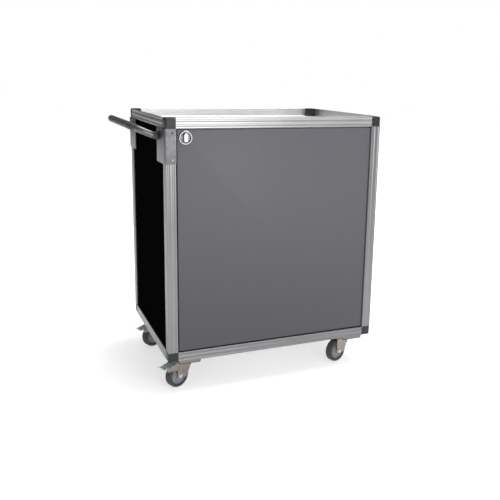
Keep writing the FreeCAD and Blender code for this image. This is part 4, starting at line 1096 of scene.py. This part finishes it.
class CART_OT_stage(Operator):
    """Set the floor, the light and the camera"""
    bl_idname = "cart.stage"
    bl_label = "Stage"

    def execute(self, context):
        looks, _, stage = settings()
        scene = context.scene
        floor = Shell(Place((0, 0, 0)))
        reach = np.linspace(-12000, 12000, 25)
        x, y = np.meshgrid(reach, reach, indexing="ij")
        floor.add(np.stack([x, y, np.zeros_like(x)], axis=2), wrap_columns=False, caps=False)
        mesh = bpy.data.meshes.new("studio_floor")
        mesh.from_pydata(floor.points[0], [], floor.faces)
        made = Finish("studio_floor_paint")
        cloud = made.noise(3.0, 2.0)
        # painted light: the floor glows, and glows less within 1.5 m of its middle, a painted shade round the
        # cart
        away = made.node("ShaderNodeVectorMath", {"operation": "LENGTH"}, {0: made.place}, output="Value")
        glow = made.blend(made.ranged(away, 0.2, 1.5), (stage.floor_glow,) * 3, (1, 1, 1))
        made.join(made.shader.inputs["Emission Color"], glow)
        mesh.materials.append(made.finish(made.blend(cloud, tone(looks.floor, 0.99), looks.floor), 0.9,
                                          Emission_Strength=1.0))
        item = bpy.data.objects.new("studio_floor", mesh)
        scene.collection.objects.link(item)

        world = bpy.data.worlds.new("studio_surroundings")
        world.use_nodes = True
        sky = Nodes(world.node_tree, "Generated")
        facing = sky.node("ShaderNodeVectorMath", {"operation": "DOT_PRODUCT"},
                          {0: sky.place, 1: (0.50, -0.70, 0.51)}, output="Value")
        light = sky.node("ShaderNodeBackground", inputs={
            "Color": (1, 1, 1), "Strength": sky.ranged(facing, -1, 1, stage.sky_back, stage.sky_front)})
        white = sky.node("ShaderNodeBackground", inputs={"Color": (1, 1, 1), "Strength": 1.0})
        seen = sky.node("ShaderNodeLightPath", output="Is Camera Ray")
        both = sky.node("ShaderNodeMixShader", inputs={0: seen, 1: light, 2: white})
        sky.join(world.node_tree.nodes["World Output"].inputs["Surface"], both)
        scene.world = world
        scene.view_settings.view_transform = "Standard"

        for name, power, place, target, size in (
                ("key_light", stage.key, (0.65, -0.2, 3.3), (0.2, 0, 0.5), 1.8),
                ("fill_light", stage.fill, (0.2, -2.35, 1.0), (-0.3, -0.3, 1.0), 0.8)):
            lamp = bpy.data.lights.new(name, "AREA")
            lamp.energy = power
            lamp.size = size
            light = bpy.data.objects.new(name, lamp)
            light.location = place
            away = np.array(place) - np.array(target)
            heading = math.atan2(away[0], -away[1])
            tilt = math.atan2(math.hypot(away[0], away[1]), away[2])
            light.rotation_euler = Euler((tilt, 0, heading))
            scene.collection.objects.link(light)

        lens = bpy.data.cameras.new("camera")
        lens.lens = stage.lens
        lens.sensor_width = 36
        lens.shift_x, lens.shift_y = stage.shift
        camera = bpy.data.objects.new("camera", lens)
        camera.location = stage.eye
        camera.rotation_euler = Euler(stage.turn)
        scene.collection.objects.link(camera)
        scene.camera = camera
        return {"FINISHED"}


class CART_PT_panel(Panel):
    """Lists the operators and settings"""
    bl_idname = "CART_PT_panel"
    bl_label = "Housekeeping cart"
    bl_space_type = "VIEW_3D"
    bl_region_type = "UI"
    bl_category = "Cart"

    def draw(self, context):
        for operator in OPERATORS:
            self.layout.operator(operator.bl_idname)
        for group in settings():
            box = self.layout.box()
            for name in group.__annotations__:
                box.prop(group, name)


GROUPS = (CartLooks, CartSizes, CartStage)
OPERATORS = (CART_OT_frame, CART_OT_connectors, CART_OT_door, CART_OT_lock, CART_OT_handle, CART_OT_brackets,
             CART_OT_castor_tops, CART_OT_forks, CART_OT_wheels, CART_OT_pedals, CART_OT_stage)
CLASSES = GROUPS + OPERATORS + (CART_PT_panel,)


def register():
    for item in CLASSES:
        bpy.utils.register_class(item)
    bpy.types.Scene.cart_looks = PointerProperty(type=CartLooks)
    bpy.types.Scene.cart_sizes = PointerProperty(type=CartSizes)
    bpy.types.Scene.cart_stage = PointerProperty(type=CartStage)


def unregister():
    del bpy.types.Scene.cart_looks, bpy.types.Scene.cart_sizes, bpy.types.Scene.cart_stage
    for item in reversed(CLASSES):
        bpy.utils.unregister_class(item)


def main():
    """Register and build every piece in order."""
    register()
    for operator in OPERATORS:
        call = getattr(bpy.ops.cart, operator.bl_idname.split(".")[1])
        if call() != {"FINISHED"}:
            raise RuntimeError(operator.bl_label + " did not finish")


if __name__ == "__main__":
    main()
